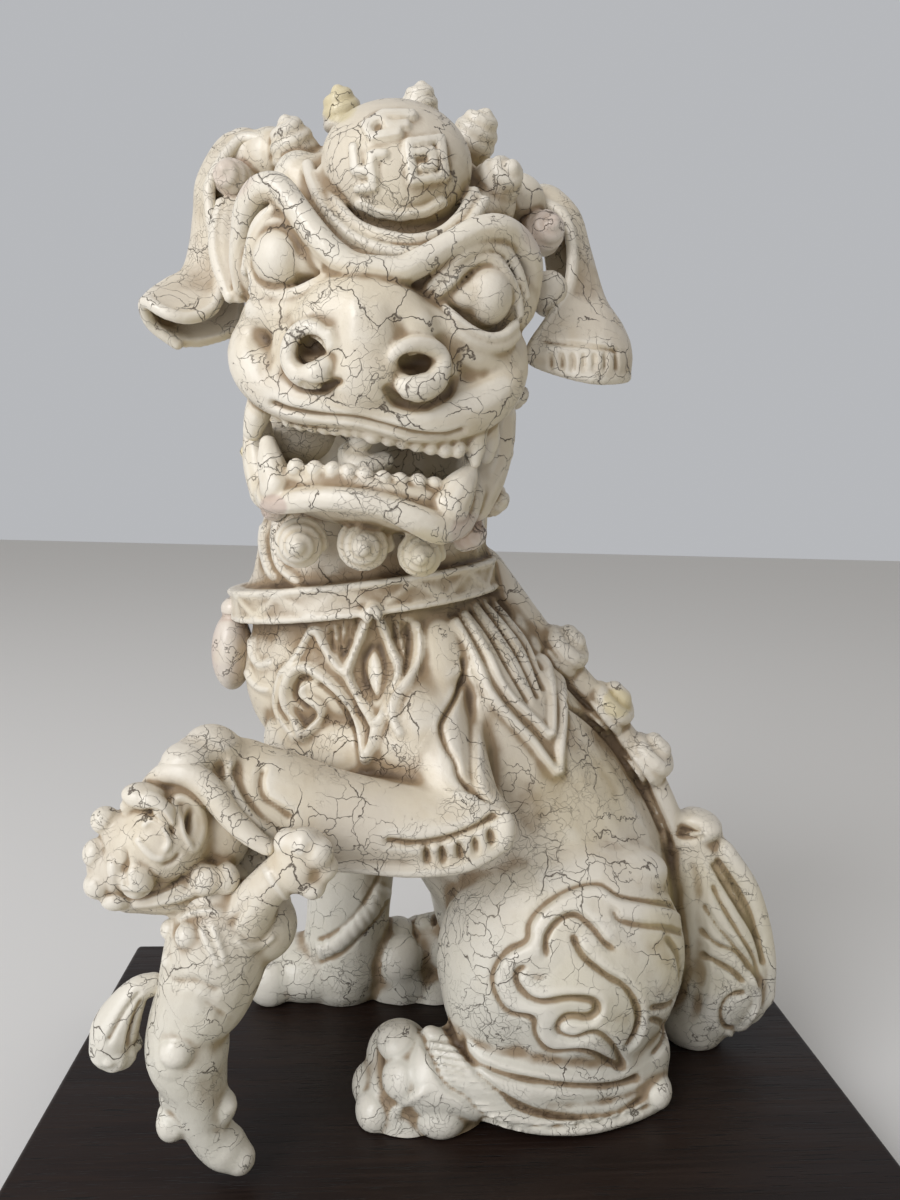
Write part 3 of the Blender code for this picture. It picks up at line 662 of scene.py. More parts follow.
# How wide each line is, and how high it stands or, below 0, how deep it is cut
CHEST_LINES = (
    (LOZENGE_LEFT, 1.15, 1.7),
    (LOZENGE_RIGHT, 1.15, 1.7),
    (LOZENGE_TAIL, 1.15, 1.7),
    (LOZENGE_LEAF, 0.8, -0.7),
    (SCROLL, 1.35, 1.7),
    (SCROLL_HOOK, 1.1, 1.4),
    (SCROLL_OUTER, 0.9, 0.9),
    (SCROLL_HOLLOW, 0.9, -1.2),
    (SCROLL_UNDER, 0.8, -1.2),
    (LEAF_LEFT, 1.0, 1.1),
    (LEAF_RIGHT, 1.0, 1.1),
    (RIGHT_ARC, 1.1, 1.3),
    (RIGHT_ARC_INNER, 0.8, -1.1),
    (LEFT_ARC, 1.0, 1.1),
    (LEFT_ARC_LOW, 1.0, 1.1),
)
FLANK_LINES = (
    (PENDANT_LEFT, 1.3, 1.4),
    (PENDANT_LEFT_INNER, 1.1, 1.2),
    (PENDANT_RIGHT_INNER, 1.1, 1.2),
    (PENDANT_RIGHT, 1.3, 1.4),
    (SPINE_BAND, 0.8, -1.3),
    (SPINE_BAND_LOW, 0.8, -1.1),
    (FLAME, 0.9, -1.3),
)
HAUNCH_GROOVES = (
    (CLOUD, 1.0),
    (CLOUD_CURL, 1.3),
    (CLOUD_SWEEP, 1.5),
    (CLOUD_TOP, 0.9),
    (CLOUD_HOOK, 1.3),
    (CLOUD_BACK, 1.0),
    (CLOUD_FOOT, 1.0),
)


def carve_chest(skin):
    """The chest's lozenge, scroll and leaf, its feathers, and the strands of the neck."""
    for rows, width, height in CHEST_LINES:
        skin.ridge(rows, width, height, CHEST_LIMITS)
    skin.dent(*LOZENGE_BOSS, CHEST_LIMITS)
    skin.ridges(CHEST_FEATHERS, 0.7, -0.9, CHEST_LIMITS)
    skin.ridges(NECK_STRANDS, 1.1, 1.1, CHEST_LIMITS)


def carve_flank(skin):
    """The pendant of feathers, the flame and the band along the spine."""
    for rows, width, height in FLANK_LINES:
        skin.ridge(rows, width, height, FLANK_LIMITS)
    skin.ridges(PENDANT_FEATHERS, 0.8, -1.1, FLANK_LIMITS)
    skin.bank(ARM_BACK, 1.6, -1.5, 4.0, FLANK_LIMITS)


def carve_arm(skin):
    """The forearm's fringe and cuff."""
    skin.ridge(FRINGE, 0.9, -1.4, ARM_LIMITS)
    for px, py in FRINGE_SLOTS:
        skin.dent(px, py, *SLOT_SIZE, ARM_LIMITS, SLOT_TURN)
    skin.ridge(CUFF, 1.3, 1.3, ARM_LIMITS)
    skin.ridge(CUFF_LOW, 1.0, -1.0, ARM_LIMITS)


def carve_haunch(skin):
    """The cloud scroll: its outline a step, its lines grooves, its curls raised on one side."""
    skin.bank(CLOUD[::-1], 1.6, 1.2, 6.0, HAUNCH_LIMITS, 12.0)
    for rows, depth in HAUNCH_GROOVES:
        skin.ridge(rows, 1.0, -depth, HAUNCH_LIMITS, 3.0)
    for rows in (CLOUD_CURL, CLOUD_SWEEP, CLOUD_HOOK):
        skin.bank(rows[::-1], 1.6, 0.9, 4.0, HAUNCH_LIMITS, 5.0)


def rungs(side, other, count):
    """Short lines across from one line to another, that many less one."""
    lines = []
    for k in range(1, count):
        a = side[round(k / count * (len(side) - 1))]
        b = other[round(k / count * (len(other) - 1))]
        lines.append([tuple(a), tuple((a + b) / 2), tuple(b)])
    return lines


def carve_foot(skin):
    """The haunch's lower edge, the web of the toes and the ribbed ruff."""
    skin.ridge(HAUNCH_EDGE, 1.2, -1.5, FOOT_LIMITS)
    skin.ridge(TOE_WEB, 1.3, 0.7, FOOT_LIMITS, 4.0)
    skin.ridge(RUFF_BACK, 1.0, -1.2, FOOT_LIMITS)
    skin.ridge(RUFF_FRONT, 1.0, -1.0, FOOT_LIMITS)
    ribs = rungs(smooth_path(RUFF_FRONT, 6), smooth_path(RUFF_BACK, 8), RUFF_RIBS)
    skin.ridges(ribs, 0.7, -0.7, FOOT_LIMITS)


def carve_strap(skin):
    """The standing foreleg's strap, a raised band with ribs across it."""
    skin.ridge(STRAP_MIDDLE, 3.0, 1.3, STRAP_LIMITS)
    skin.ridges((STRAP_TOP, STRAP_LOW), 0.8, -0.5, STRAP_LIMITS)
    ribs = rungs(smooth_path(STRAP_TOP, 8), smooth_path(STRAP_LOW, 8), STRAP_RIBS)
    skin.ridges(ribs, 0.6, -0.35, STRAP_LIMITS)


def carve_tail(skin):
    """The plume's strands and its scroll."""
    skin.ridges(TAIL_STRANDS, 0.8, -1.1, TAIL_LIMITS)
    skin.ridge(TAIL_VALLEY, 2.6, -0.8, TAIL_LIMITS, 8.0)
    skin.ridge(TAIL_TOP, 1.0, -1.2, TAIL_LIMITS)
    skin.ridge(TAIL_SCROLL, 0.9, -1.3, TAIL_LIMITS)
    skin.ridge(TAIL_ROLL, 1.2, 1.0, TAIL_LIMITS)
    skin.dent(*TAIL_HOLLOW, TAIL_LIMITS)


# The head

# The curls that ring the forehead, and the one in each ear
CROWN_CURLS = (
    ((292, 142, -9), (-0.35, -0.5, 1), 5.7, 5.6),
    ((342, 110, -5), (-0.25, -0.4, 1), 5.1, 5.2),
    ((420, 103, -3), (0.1, -0.4, 1), 4.8, 4.6),
    ((477, 132, -7), (0.6, -0.5, 1), 5.7, 5.4),
    ((501, 180, -17), (0.65, -1, 0.4), 5.7, 5.4),
    ((231, 177, -8), (-0.3, -1, 0.1), 4.6, 4.6),
    ((545, 231, -10), (0.35, -1, 0.1), 5.3, 5.2),
)

# The roll over the eyes, which dips to the bridge of the nose
BROW = [(243, 285, -19, 2.3), (241, 262, -22, 2.6), (244, 236, -25, 2.8), (248, 211, -28, 3.0),
        (260, 191, -30.5, 3.1), (278, 189, -32.5, 3.1), (295, 208, -34, 2.9), (312, 230, -36, 2.8),
        (332, 252, -37, 2.8), (354, 267, -37.5, 2.9), (380, 271, -37.5, 3.0), (403, 270, -37.5, 2.9),
        (426, 259, -37, 2.8), (449, 246, -36, 2.8), (473, 233, -34.5, 2.9), (497, 229, -32.5, 3.0),
        (514, 237, -29.5, 3.0), (526, 252, -27, 2.9), (531, 268, -24.5, 2.7), (530, 290, -21.5, 2.4),
        (526, 312, -19, 2.0)]

# The eyeballs in their lids and folds
EYES = (
    ((283, 260, -30), (6.1, 6.4, 6.5)),
    [(288, 259, -31, 5.0), (303, 263, -32.5, 3.4), (317, 269, -33.5, 1.6)],
    ((485, 296, -29.5), (5.7, 6.4, 6.1)),
    [(480, 295, -31, 4.8), (463, 296, -32.5, 3.2), (446, 296, -33.5, 1.5)],
    [(251, 264, -28.7, 1.1), (257, 238, -31.2, 1.2), (270, 224, -32.7, 1.2), (286, 224, -33.7, 1.2),
     (300, 236, -34.7, 1.2), (312, 252, -35.2, 1.1), (322, 266, -35.7, 1)],
    [(246, 271, -26.7, 1.2), (251, 246, -29.2, 1.3), (258, 224, -31.7, 1.3), (273, 211, -32.7, 1.3),
     (290, 211, -33.7, 1.3), (305, 225, -35.2, 1.3), (318, 243, -36.2, 1.2), (331, 259, -36.7, 1.2),
     (343, 271, -37.2, 1)],
    [(251, 264, -28.7, 1.1), (255, 281, -29.7, 1.2), (266, 292, -31.2, 1.3), (282, 296, -32.7, 1.3),
     (299, 292, -34.2, 1.3), (315, 284, -35.2, 1.2), (328, 277, -36.2, 1.1), (341, 273, -36.7, 0.9)],
    [(253, 290, -28.7, 1.2), (263, 300, -30.7, 1.3), (279, 305, -32.2, 1.4), (296, 303, -33.7, 1.3),
     (312, 296, -34.7, 1.2), (327, 286, -35.7, 1.1), (341, 279, -36.7, 0.9)],
    [(434, 297, -34.6, 1), (451, 281, -35.7, 1.2), (465, 266, -34.7, 1.2), (482, 258, -33.7, 1.3),
     (498, 263, -32.7, 1.2), (509, 278, -31.2, 1.2), (517, 296, -29.2, 1.1), (520, 315, -27.7, 1)],
    [(426, 292, -34.4, 1), (442, 276, -35.8, 1.2), (461, 257, -35.7, 1.3), (483, 246, -34.2, 1.3),
     (505, 252, -31.7, 1.3), (518, 271, -29.2, 1.2), (525, 296, -26.7, 1.2)],
    [(437, 301, -33.8, 0.9), (451, 315, -35.0, 1.2), (469, 330, -34.2, 1.3), (487, 338, -32.7, 1.3),
     (503, 336, -30.7, 1.2), (515, 325, -28.7, 1.2)],
    [(431, 305, -34.2, 0.9), (446, 323, -35.4, 1.2), (465, 338, -34.7, 1.3), (484, 347, -32.7, 1.4),
     (504, 346, -30.2, 1.3), (517, 335, -27.7, 1.1)],
)

# The bulk of the broad nose, the cheeks and the eye sockets, before their fine forms
MUZZLE = (
    [(362, 285, -31.5, 5.6), (363, 300, -34.5, 6.8), (364, 322, -36, 8.2), (366, 345, -36.5, 8.2)],
    [(354, 290, -32.5, 5.4), (336, 306, -34.5, 5.8), (318, 321, -35.5, 5.0)],
    [(374, 293, -33, 5.6), (392, 313, -35.5, 6.0), (412, 331, -36.2, 5.4)],
    [(348, 314, -34.5, 5.4), (390, 318, -35.5, 5.6)],
    [(344, 335, -37, 5.4), (388, 345, -37, 5.4)],
    ((311, 352, -31), (8.4, 7.0, 8.2)),
    ((417, 367, -31), (9.0, 7.0, 8.0)),
    ((367, 366, -37), (8.8, 7.0, 9.5)),
    ((365, 318, -36.5), (12.5, 6.3, 8.5)),
    ((246, 160, 1), (6, 6, 7)),
    ((300, 374, -27), (10, 8, 8)),
    ((425, 386, -27), (11, 8, 8)),
    ((287, 264, -20), (11, 9, 10)),
    ((480, 296, -19), (10.5, 9, 10)),
    ((302, 272, -27), (8, 6, 6)),
    ((462, 303, -27), (8, 6, 7)),
    ((366, 285, -26), (10, 8, 8)),
    ((426, 283, -28), (8, 7, 7)),
    ((514, 282, -19), (6, 7, 11)),
    ((272, 345, -19), (7.5, 9, 12)),
    ((487, 362, -17), (8, 10, 11)),
    [(262, 312, -28, 3.8), (290, 316, -31, 4.2), (318, 302, -33, 3.6), (342, 290, -34, 3.2)],
    [(412, 305, -34, 3.2), (440, 330, -33, 4.0), (470, 354, -30, 4.4), (500, 358, -26, 4.2)],
    [(260, 328, -24, 4.6), (252, 352, -25, 5.2), (258, 373, -27, 5.4), (276, 389, -29, 5.4),
     (300, 399, -32, 5.2), (330, 403, -34, 5.0), (352, 406, -35, 4.8)],
    [(352, 406, -35, 4.6), (380, 412, -35, 4.8), (408, 418, -34.5, 5.0), (440, 418, -33, 5.2),
     (470, 409, -30, 5.6), (493, 393, -26.5, 5.8), (504, 372, -23, 5.4), (508, 350, -20, 4.4)],
    [(262, 218, -20, 6), (290, 220, -23, 5.5), (330, 252, -26, 5.5), (380, 272, -29, 5), (430, 264, -28, 5),
     (470, 246, -24, 6), (508, 252, -20, 6)],
    [(300, 180, -13, 6), (340, 222, -18, 6), (400, 246, -21, 5), (450, 232, -18, 6), (490, 205, -14, 6)],
    ((273, 160, -1), (7, 7, 7)),
    ((516, 205, -4), (7, 7, 7)),
    ((300, 440, -9), (10, 6, 5.5)),
)

# The scrolls of the nose
NOSTRILS = (
    [(332, 345, -41.5, 1.6), (322, 333, -41, 1.8), (308, 328, -40, 1.9), (295, 336, -38.5, 1.9),
     (289, 352, -38, 1.9), (292, 367, -38, 2.0), (303, 376, -39, 2.3), (316, 375, -40.5, 2.8),
     (325, 367, -40.5, 2.2)],
    [(330, 335, -41.5, 1.6), (342, 352, -41, 2.0), (350, 371, -40.4, 2.2), (349, 388, -38.5, 2.4),
     (342, 401, -37, 2.4)],
    [(400, 380, -40, 1.8), (407, 387, -41, 2.4), (421, 388, -40.5, 2.8), (434, 382, -39, 2.6),
     (441, 368, -38, 2.2), (440, 356, -38, 2.0), (430, 347, -39.5, 1.9), (414, 345, -41, 1.9),
     (398, 352, -42, 1.9), (387, 364, -41.3, 2.1), (382, 380, -40.3, 2.3), (381, 396, -38.6, 2.5),
     (387, 409, -37, 2.8)],
)

# The teeth in the upper lip, and the gum with its fangs and corner lump
SMALL_TEETH = [(289, 420), (301, 423), (313, 425), (325, 427), (336, 428), (347, 429), (358, 430)]
LARGE_TEETH = [(373, 433), (389, 437), (403, 440), (417, 443), (431, 446), (445, 449), (458, 449)]
UPPER_GUM = (
    [(280, 414, -27, 1.8), (320, 419, -30.5, 2.0), (360, 422, -33, 2.2), (400, 431, -33, 2.2),
     (440, 438, -31, 2.2), (470, 434, -28, 2.2)],
    [(474, 430, -28, 3.0), (475, 447, -28, 2.4), (475, 463, -28, 1.2)],
    [(262, 400, -24, 3.0), (257, 416, -24, 2.8), (253, 431, -23, 2.2)],
    [(486, 424, -24, 2.8), (489, 440, -23, 2.4), (486, 456, -22, 1.8)],
)


def upper_teeth():
    """The row under the upper lip, small teeth on its right and large ones on its left."""
    lumps = [spot((px, py, -29.5 - 0.6 * k), (1.5, 1.8, 1.7)) for k, (px, py) in enumerate(SMALL_TEETH)]
    for k, (px, py) in enumerate(LARGE_TEETH):
        lumps.append(spot((px, py, -33.5 + 0.5 * k), (1.75, 2.0, 2.0) if k else (2.2, 2.2, 2.3)))
    return lumps + formed(UPPER_GUM)


# The disc on the forehead, with its two rims
BOSS = (
    ((397, 165, -21.5), (15.8, 10.5, 15.4), (-33, 0, 0)),
    [(323, 172, -23, 1.4), (328, 190, -25, 1.4), (338, 207, -28, 1.5), (358, 227, -30.5, 1.5),
     (389, 238, -32, 1.5), (415, 241, -32, 1.5), (441, 234, -30.5, 1.5), (461, 216, -28, 1.4),
     (474, 193, -25, 1.4)],
    [(308, 166, -20, 1.4), (314, 186, -24, 1.4), (327, 211, -28, 1.4), (350, 235, -31.5, 1.4),
     (380, 249, -33.5, 1.4), (412, 253, -34, 1.4), (443, 247, -33, 1.4), (468, 226, -30, 1.4),
     (484, 202, -26, 1.4)],
)

# Rows of curls round the back of the head: height, reach to the side, middle and reach to the back,
# upward lean, a curl's radius and half height, and the angles at which the curls are set
MANE_ROWS = (
    (-25, 25, 8, 0.88, -0.2, 7, 6.5, (-66, -33, 0, 33, 66)),
    (-8, 28, 8, 0.88, -0.2, 7, 6.5, (-50, -17, 17, 50)),
    (10, 27, 5, 0.9, 0.5, 6.4, 5, (-70, -35, 0, 35, 70)),
    (25, 19.5, 5, 0.9, 0.5, 6.4, 5, (-60, 0, 60)),
)


def mane():
    """The curls on the back of the head, which no photograph shows."""
    curled = []
    for height, reach, middle, depth, lean, radius, half, angles in MANE_ROWS:
        for angle in angles:
            side = math.sin(math.radians(angle))
            back = math.cos(math.radians(angle))
            place = (reach * side, middle + depth * reach * back, height)
            curled.append(snail(place, (side, back, lean), radius, half))
    return curled


def skull():
    """The masses of the upper head."""
    return as_head([
        ball((0, 3, 12), (30, 28, 26)),
        ball((0, 2, -9), (30.0, 25, 20)),
        ball((1, -15, -18), (21, 17, 11.5)),
        ball((3, -7, -21), (25, 19, 8)),
        ball((0, 13, -12), (27, 22, 24)),
    ])


# The knob by the left ear, the curls on the cheeks, and the first of the strands between brow and ear
EAR_KNOB = ((549, 294, -9), (4.4, 5, 5.2))
CHEEK_CURLS = (
    ((514, 394, -9), (1, -0.8, 0), 4.2, 3.6),
    ((496, 452, -12), (1, -0.8, 0), 4.8, 4.2),
    ((252, 453, -15), (-1, -0.8, 0), 3.2, 2.8),
)
TEMPLE_STRAND = [(222, 205, -8, 1.6), (216, 235, -10, 1.8), (219, 265, -13, 1.8), (230, 297, -17, 1.4)]
TEMPLE_SHIFTS = (0, 9, 18)

# Where the wash and painted shade are heavier or lighter, and where the tone differs: photo pixel, reach in
# pixels, strength
HEAD_WASH_AND_SHADE = ((480, 380, 30, -0.7), (262, 360, 20, -0.4), (575, 300, 40, 0.3))
HEAD_TINTS = ((338, 103, 19, 1.0), (252, 453, 13, 0.8), (231, 177, 22, -0.55), (545, 231, 24, -0.75))

# Hollows and creases of the face; a hollow is a photo pixel, its half width and height, and its depth
FACE_LIMITS = (-60, -8)
NOSE_LIMITS = (-60, -30)
NOSTRIL_HOLLOWS = ((312, 347, 11, 11, -1.6), (413, 363, 14, 9, -1.8))
CHEEK_HOLLOW = (268, 357, 8, 22, -0.8)
CHEEK_TURN = 12
NOSE_CREASE_LEFT = [(297, 382), (311, 388), (327, 387), (344, 379)]
NOSE_CREASE_RIGHT = [(384, 384), (395, 399), (411, 408), (432, 405), (449, 393), (456, 374)]
LIP_EDGE = [(268, 402), (290, 411), (325, 417), (358, 420), (385, 427), (415, 435), (445, 437), (468, 430)]

# A plain key pattern for the forehead's disc
BOSS_LIMITS = (-60, -4)
FRET = (
    [(366, 127), (384, 116), (412, 116)],
    [(366, 127), (372, 138), (398, 134)],
    [(384, 116), (388, 127), (406, 126)],
    [(354, 148), (356, 172), (372, 171), (371, 156), (384, 154)],
    [(372, 171), (374, 187), (359, 189)],
    [(408, 144), (440, 140), (444, 176), (413, 181), (408, 144)],
    [(418, 153), (431, 152), (433, 167), (422, 168)],
    [(360, 203), (379, 212), (402, 215), (426, 211), (442, 202)],
)


def carve_face(skin):
    """The hollows of the nose and cheek, the creases by the nostrils, the lip's edge and the key pattern."""
    for hollow in NOSTRIL_HOLLOWS:
        skin.dent(*hollow, NOSE_LIMITS)
    skin.dent(*CHEEK_HOLLOW, FACE_LIMITS, CHEEK_TURN)
    skin.ridge(NOSE_CREASE_LEFT, 1.0, -0.9, FACE_LIMITS)
    skin.ridge(NOSE_CREASE_RIGHT, 1.3, -0.7, FACE_LIMITS)
    skin.ridge(LIP_EDGE, 0.9, -1.3, FACE_LIMITS)
    skin.fret(FRET, 0.9, 0.9, BOSS_LIMITS)


def head_clay():
    """The upper head: its masses blended softly, then the fine forms pressed on, and the hollows cut."""
    mass = press(skull() + formed(MUZZLE), HEAD_MASS_VOXEL, MASS_SOFTENING)
    lumps = [mass, *curls(CROWN_CURLS), roll(BROW), *formed(EYES), *formed(NOSTRILS), *upper_teeth()]
    lumps += [*formed(BOSS), *as_head(mane()), spot(*EAR_KNOB), *curls(CHEEK_CURLS)]
    for shift in TEMPLE_SHIFTS:
        lumps.append(roll([(px + shift, py, depth, radius) for px, py, depth, radius in TEMPLE_STRAND]))
    skin = Carving(press(lumps))
    carve_face(skin)
    return weathered(softened(skin.done()), HEAD_TINTS, HEAD_WASH_AND_SHADE)


# The lower jaw's lip, tusks, corners and floor, its teeth, and the curls under the chin and at its sides
JAW = (
    [(266, 492, -22, 2.8), (272, 500, -26, 2.9), (289, 501, -29.5, 2.8), (320, 499, -33, 2.7),
     (356, 501, -35, 2.7), (389, 508, -35, 2.8), (416, 519, -34, 3.2), (440, 527, -31, 3.8),
     (459, 518, -27.5, 3.6), (470, 499, -24, 3.0), (477, 480, -20, 2.4)],
    [(268, 444, -25, 1.9), (271, 462, -26.5, 3.0), (278, 487, -27.5, 3.9)],
    [(472, 466, -26.5, 1.3), (467, 476, -27.5, 2.5), (458, 490, -29, 3.9), (448, 508, -30, 4.6)],
    [(258, 428, -17, 3.2), (261, 462, -18, 4.0), (268, 492, -20, 4.0)],
    [(498, 415, -14, 4.2), (494, 445, -14, 4.6), (485, 478, -17, 4.6), (474, 503, -20, 4.2)],
    [(290, 478, -28, 2.4), (330, 484, -31, 2.6), (370, 489, -32.5, 2.7), (410, 498, -31.5, 3.0),
     (440, 504, -29, 3.2)],
    [(290, 489, -28, 2.4), (330, 492, -31.5, 2.4), (370, 495, -33, 2.4), (410, 505, -32, 2.8),
     (440, 514, -29, 3.2)],
)
LOWER_TEETH = [(296, 468), (315, 470), (333, 471), (349, 473), (365, 476), (383, 480), (400, 482),
               (418, 483), (434, 486)]
CHIN_CURLS = tuple(
    ((px, py, -23.5), (0, -1, -0.05), radius, height, 2.8, 1.1, 0.8)
    for px, py, radius, height in ((299, 545, 6.3, 5.2), (364, 546, 6.8, 5.2), (421, 556, 5.8, 4.8))
)
JAW_CURLS = (
    ((493, 499, -12), (1, -0.8, 0), 4.6, 4.0),
    ((470, 533, -15), (1, -1, 0), 4.6, 4.2),
    ((273, 508, -18), (-1, -1, 0), 3.4, 3.2),
)
JAW_TINTS = ((470, 533, 20, -0.9), (273, 508, 14, -0.9), (421, 556, 26, 0.35))


def jaw_clay():
    """The lower jaw: its floor and lip, teeth and tusks, and the curls that hang from it."""
    lumps = as_head([
        ball((4, -9, -44), (20, 17, 5.0)),
        ball((3, 3, -41), (24, 17, 10)),
        limb([(-18, 2, -38, 4.4), (-19, -8, -41, 4.6), (-16.5, -17, -43, 4.6)]),
        limb([(25, 2, -36, 4.4), (25, -8, -39, 4.6), (22, -18, -43, 4.8)]),
    ])
    lumps += formed(JAW)
    for k, (px, py) in enumerate(LOWER_TEETH):
        lumps.append(spot((px, py, -29 - 3.8 * math.sin(math.pi * (k + 1) / 10)), (1.9, 1.8, 2.1)))
    lumps += curls(CHIN_CURLS) + curls(JAW_CURLS)
    return weathered(press(lumps), JAW_TINTS)


# The tongue's tip, and the pearl on it
TONGUE = (
    [(352, 455, -24, 3.2), (356, 466, -27, 3.4), (368, 468, -28, 3.0), (384, 461, -27, 2.2)],
    ((361, 440, -27.5), (2.7, 2.7, 2.6)),
)


def tongue_clay():
    """The tongue, with the pearl that lies on it."""
    root = as_head([limb([(1, -8, -39, 4.5), (1, -18, -36.6, 4.0)])])
    return weathered(press(root + formed(TONGUE)))


# The ears from root to tip, each row across the leaf; the lion's right ear is at the photograph's left
RIGHT_EAR = [
    [(266, 141, -6), (264, 137, -2), (267, 141, 3), (274, 150, 6)],
    [(240, 141, -4), (227, 139, 0), (233, 143, 5), (252, 152, 6)],
    [(212, 180, -7), (202, 178, -1), (211, 180, 6), (242, 185, 7)],
    [(211, 213, -8), (198, 213, -1), (210, 216, 7), (244, 222, 7)],
    [(217, 250, -9), (194, 246, -2), (208, 256, 6), (246, 262, 5)],
    [(221, 280, -11), (186, 272, -4), (199, 292, 4), (244, 300, 1)],
    [(214, 307, -14), (168, 283, -8), (184, 310, 0), (237, 330, -3)],
    [(190, 318, -17), (152, 294, -12), (164, 325, -5), (205, 343, -6)],
    [(166, 313, -18), (145, 302, -15), (151, 324, -11), (177, 344, -9)],
]
LEFT_EAR = [
    [(519, 203, -6), (523, 194, -3), (524, 197, 2), (517, 208, 5)],
    [(533, 201, -3), (547, 190, 0), (552, 195, 5), (530, 207, 6)],
    [(562, 215, -6), (574, 212, -1), (566, 218, 6), (538, 222, 8)],
    [(572, 249, -8), (586, 250, -2), (574, 256, 6), (544, 256, 8)],
    [(568, 290, -10), (598, 294, -5), (590, 302, 4), (550, 296, 6)],
    [(549, 322, -13), (604, 320, -11), (616, 331, -2), (560, 331, 2)],
    [(532, 348, -14), (598, 348, -17), (627, 352, -8), (582, 353, 0)],
    [(536, 362, -13), (590, 378, -17), (626, 377, -10), (600, 372, -2)],
]
EAR_THICKNESS = 2.4
EAR_EDGE = 1.4
EAR_LIMITS = (-30, 6)
EAR_COMB = [[(px, 352), (px + 1, 362), (px, 372)] for px in range(550, 617, 11)]
EAR_FOLD = [(541, 341), (560, 343), (582, 345), (603, 348), (620, 352)]


def ear_clay(rows, comb=()):
    """A leaf-like ear through rows of photo pixels and depths, with a rolled edge and comb lines."""
    rows = [[tuple(seen(*p)) for p in row] for row in rows]
    rim = [(*row[0], EAR_EDGE) for row in rows] + [(*p, EAR_EDGE) for p in rows[-1][1:]]
    skin = Carving(press([sheet(rows, EAR_THICKNESS), limb(rim, 4, 3)]))
    skin.ridges(comb, 0.6, -0.7, EAR_LIMITS)
    return weathered(softened(skin.done()))


def bell_clay():
    """The drop that hangs from the collar's front."""
    front = COLLAR.x - COLLAR_SIZE.x / 2
    lumps = [
        ball((front + 0.5, MIDDLE - 2, COLLAR.z - 17), (5.2, 7, 10.2)),
        ball((front + 1.0, MIDDLE - 2, COLLAR.z - 6), (3.4, 4.2, 3.0)),
    ]
    return weathered(press(lumps))


# The body

# The breast's folds and the haunch's top, and the raised paw's toes and sole
BREAST = (
    [(400, 655, -4, 10), (406, 695, -8, 12), (414, 733, -13, 13)],
    [(300, 738, -3, 9), (350, 748, -7.5, 10), (398, 754, -13, 10.5), (440, 762, -18, 10)],
)
HAUNCH_TOP = ((585, 869, -7), (21, 12.5, 8))
PAW = (
    ((188, 761, -36), (5.6, 6, 4.2)),
    ((214, 748, -31), (6.4, 6, 5.0), (0, 20, 0)),
    ((178, 772, -30), (4.6, 7, 4.6)),
    ((254, 856, -23), (8.5, 8, 6.5)),
)
ELBOW_KNOB = ((31, -46, -27), (2.8, 3.2, 4.8))


def trunk_lumps():
    """Rump, trunk, chest and neck, with the ridge of the spine."""
    x, y, z = CHEST
    neck = COLLAR_SIZE.y / 2 - 2
    nape = HEAD + Vector((-1, 13, -36))
    back = [(x + 19, y, z - 8, 31), (x + 33, y, z - 28, 30.5)]
    back += [(RUMP.x - 8, y, RUMP.z + 22, 31), (RUMP.x, y, RUMP.z + 2, 28)]
    throat = [(COLLAR.x, y, COLLAR.z - 2, neck), (x + 2, y, COLLAR.z + 18, neck - 0.5), (*nape, neck - 2.5)]
    spine = [(x + 30, z + 27), (x + 46, z + 6.5), (x + 61, z - 10), (x + 75, z - 28)]
    spine.append((RUMP.x + 26, RUMP.z + 30))
    return [
        limb(back),
        limb(throat),
        ball(CHEST, (31.5, 28, 29)),
        ball((x - 1, y, z + 18), (30.5, 27, 18)),
        *formed(BREAST),
        ball((RUMP.x, y, RUMP.z - 2), (29, 32, 29)),
        spot(*HAUNCH_TOP),
        limb([(u, y, v, 5) for u, v in spine]),
    ]


def fine_lumps():
    """The collar, the comb's curls, the toes and the knobs."""
    x, y, z = CHEST
    lumps = collar()
    for u, v in ((51, 5), (64, -10), (75.5, -24)):
        lumps.append(snail((x + u + 0.4, y - 1, z + v + 0.4), (0.66, -0.3, 0.6), 8.0, 7.0, 2.6, 3.6))
    lumps += moved([ball(*ELBOW_KNOB)], CHEST)
    return lumps + formed(HIND_TOES) + far_side(formed(HIND_TOES))


# The zigzag's peaks round half the collar
ZIGZAG_PEAKS = 13


def collar():
    """The band round the neck, with its zigzag, level with the line of the shoulders."""
    bpy.ops.mesh.primitive_cylinder_add(vertices=96, radius=0.5, depth=1.0)
    band = bpy.context.object
    angles = Euler((0, math.radians(COLLAR_TILT), 0))
    band.data.transform(Matrix.LocRotScale(COLLAR * MM, angles, COLLAR_SIZE * MM))
    turn = angles.to_matrix()
    rims = []
    for height in (-COLLAR_SIZE.z / 2 + 0.7, COLLAR_SIZE.z / 2 - 0.7):
        rims.append([(math.radians(5 * k), height) for k in range(73)])
    rims.append([(math.pi * k / ZIGZAG_PEAKS, 2.4 if k % 2 else -2.4) for k in range(2 * ZIGZAG_PEAKS + 1)])
    lumps = [band]
    for rim in rims:
        rows = []
        for angle, height in rim:
            flat = Vector((COLLAR_SIZE.x / 2 * math.cos(angle), COLLAR_SIZE.y / 2 * math.sin(angle), height))
            rows.append((*(COLLAR + turn @ flat), 0.8 if len(rim) > 60 else 0.6))
        lumps.append(limb(rows, 1, 2))
    return lumps


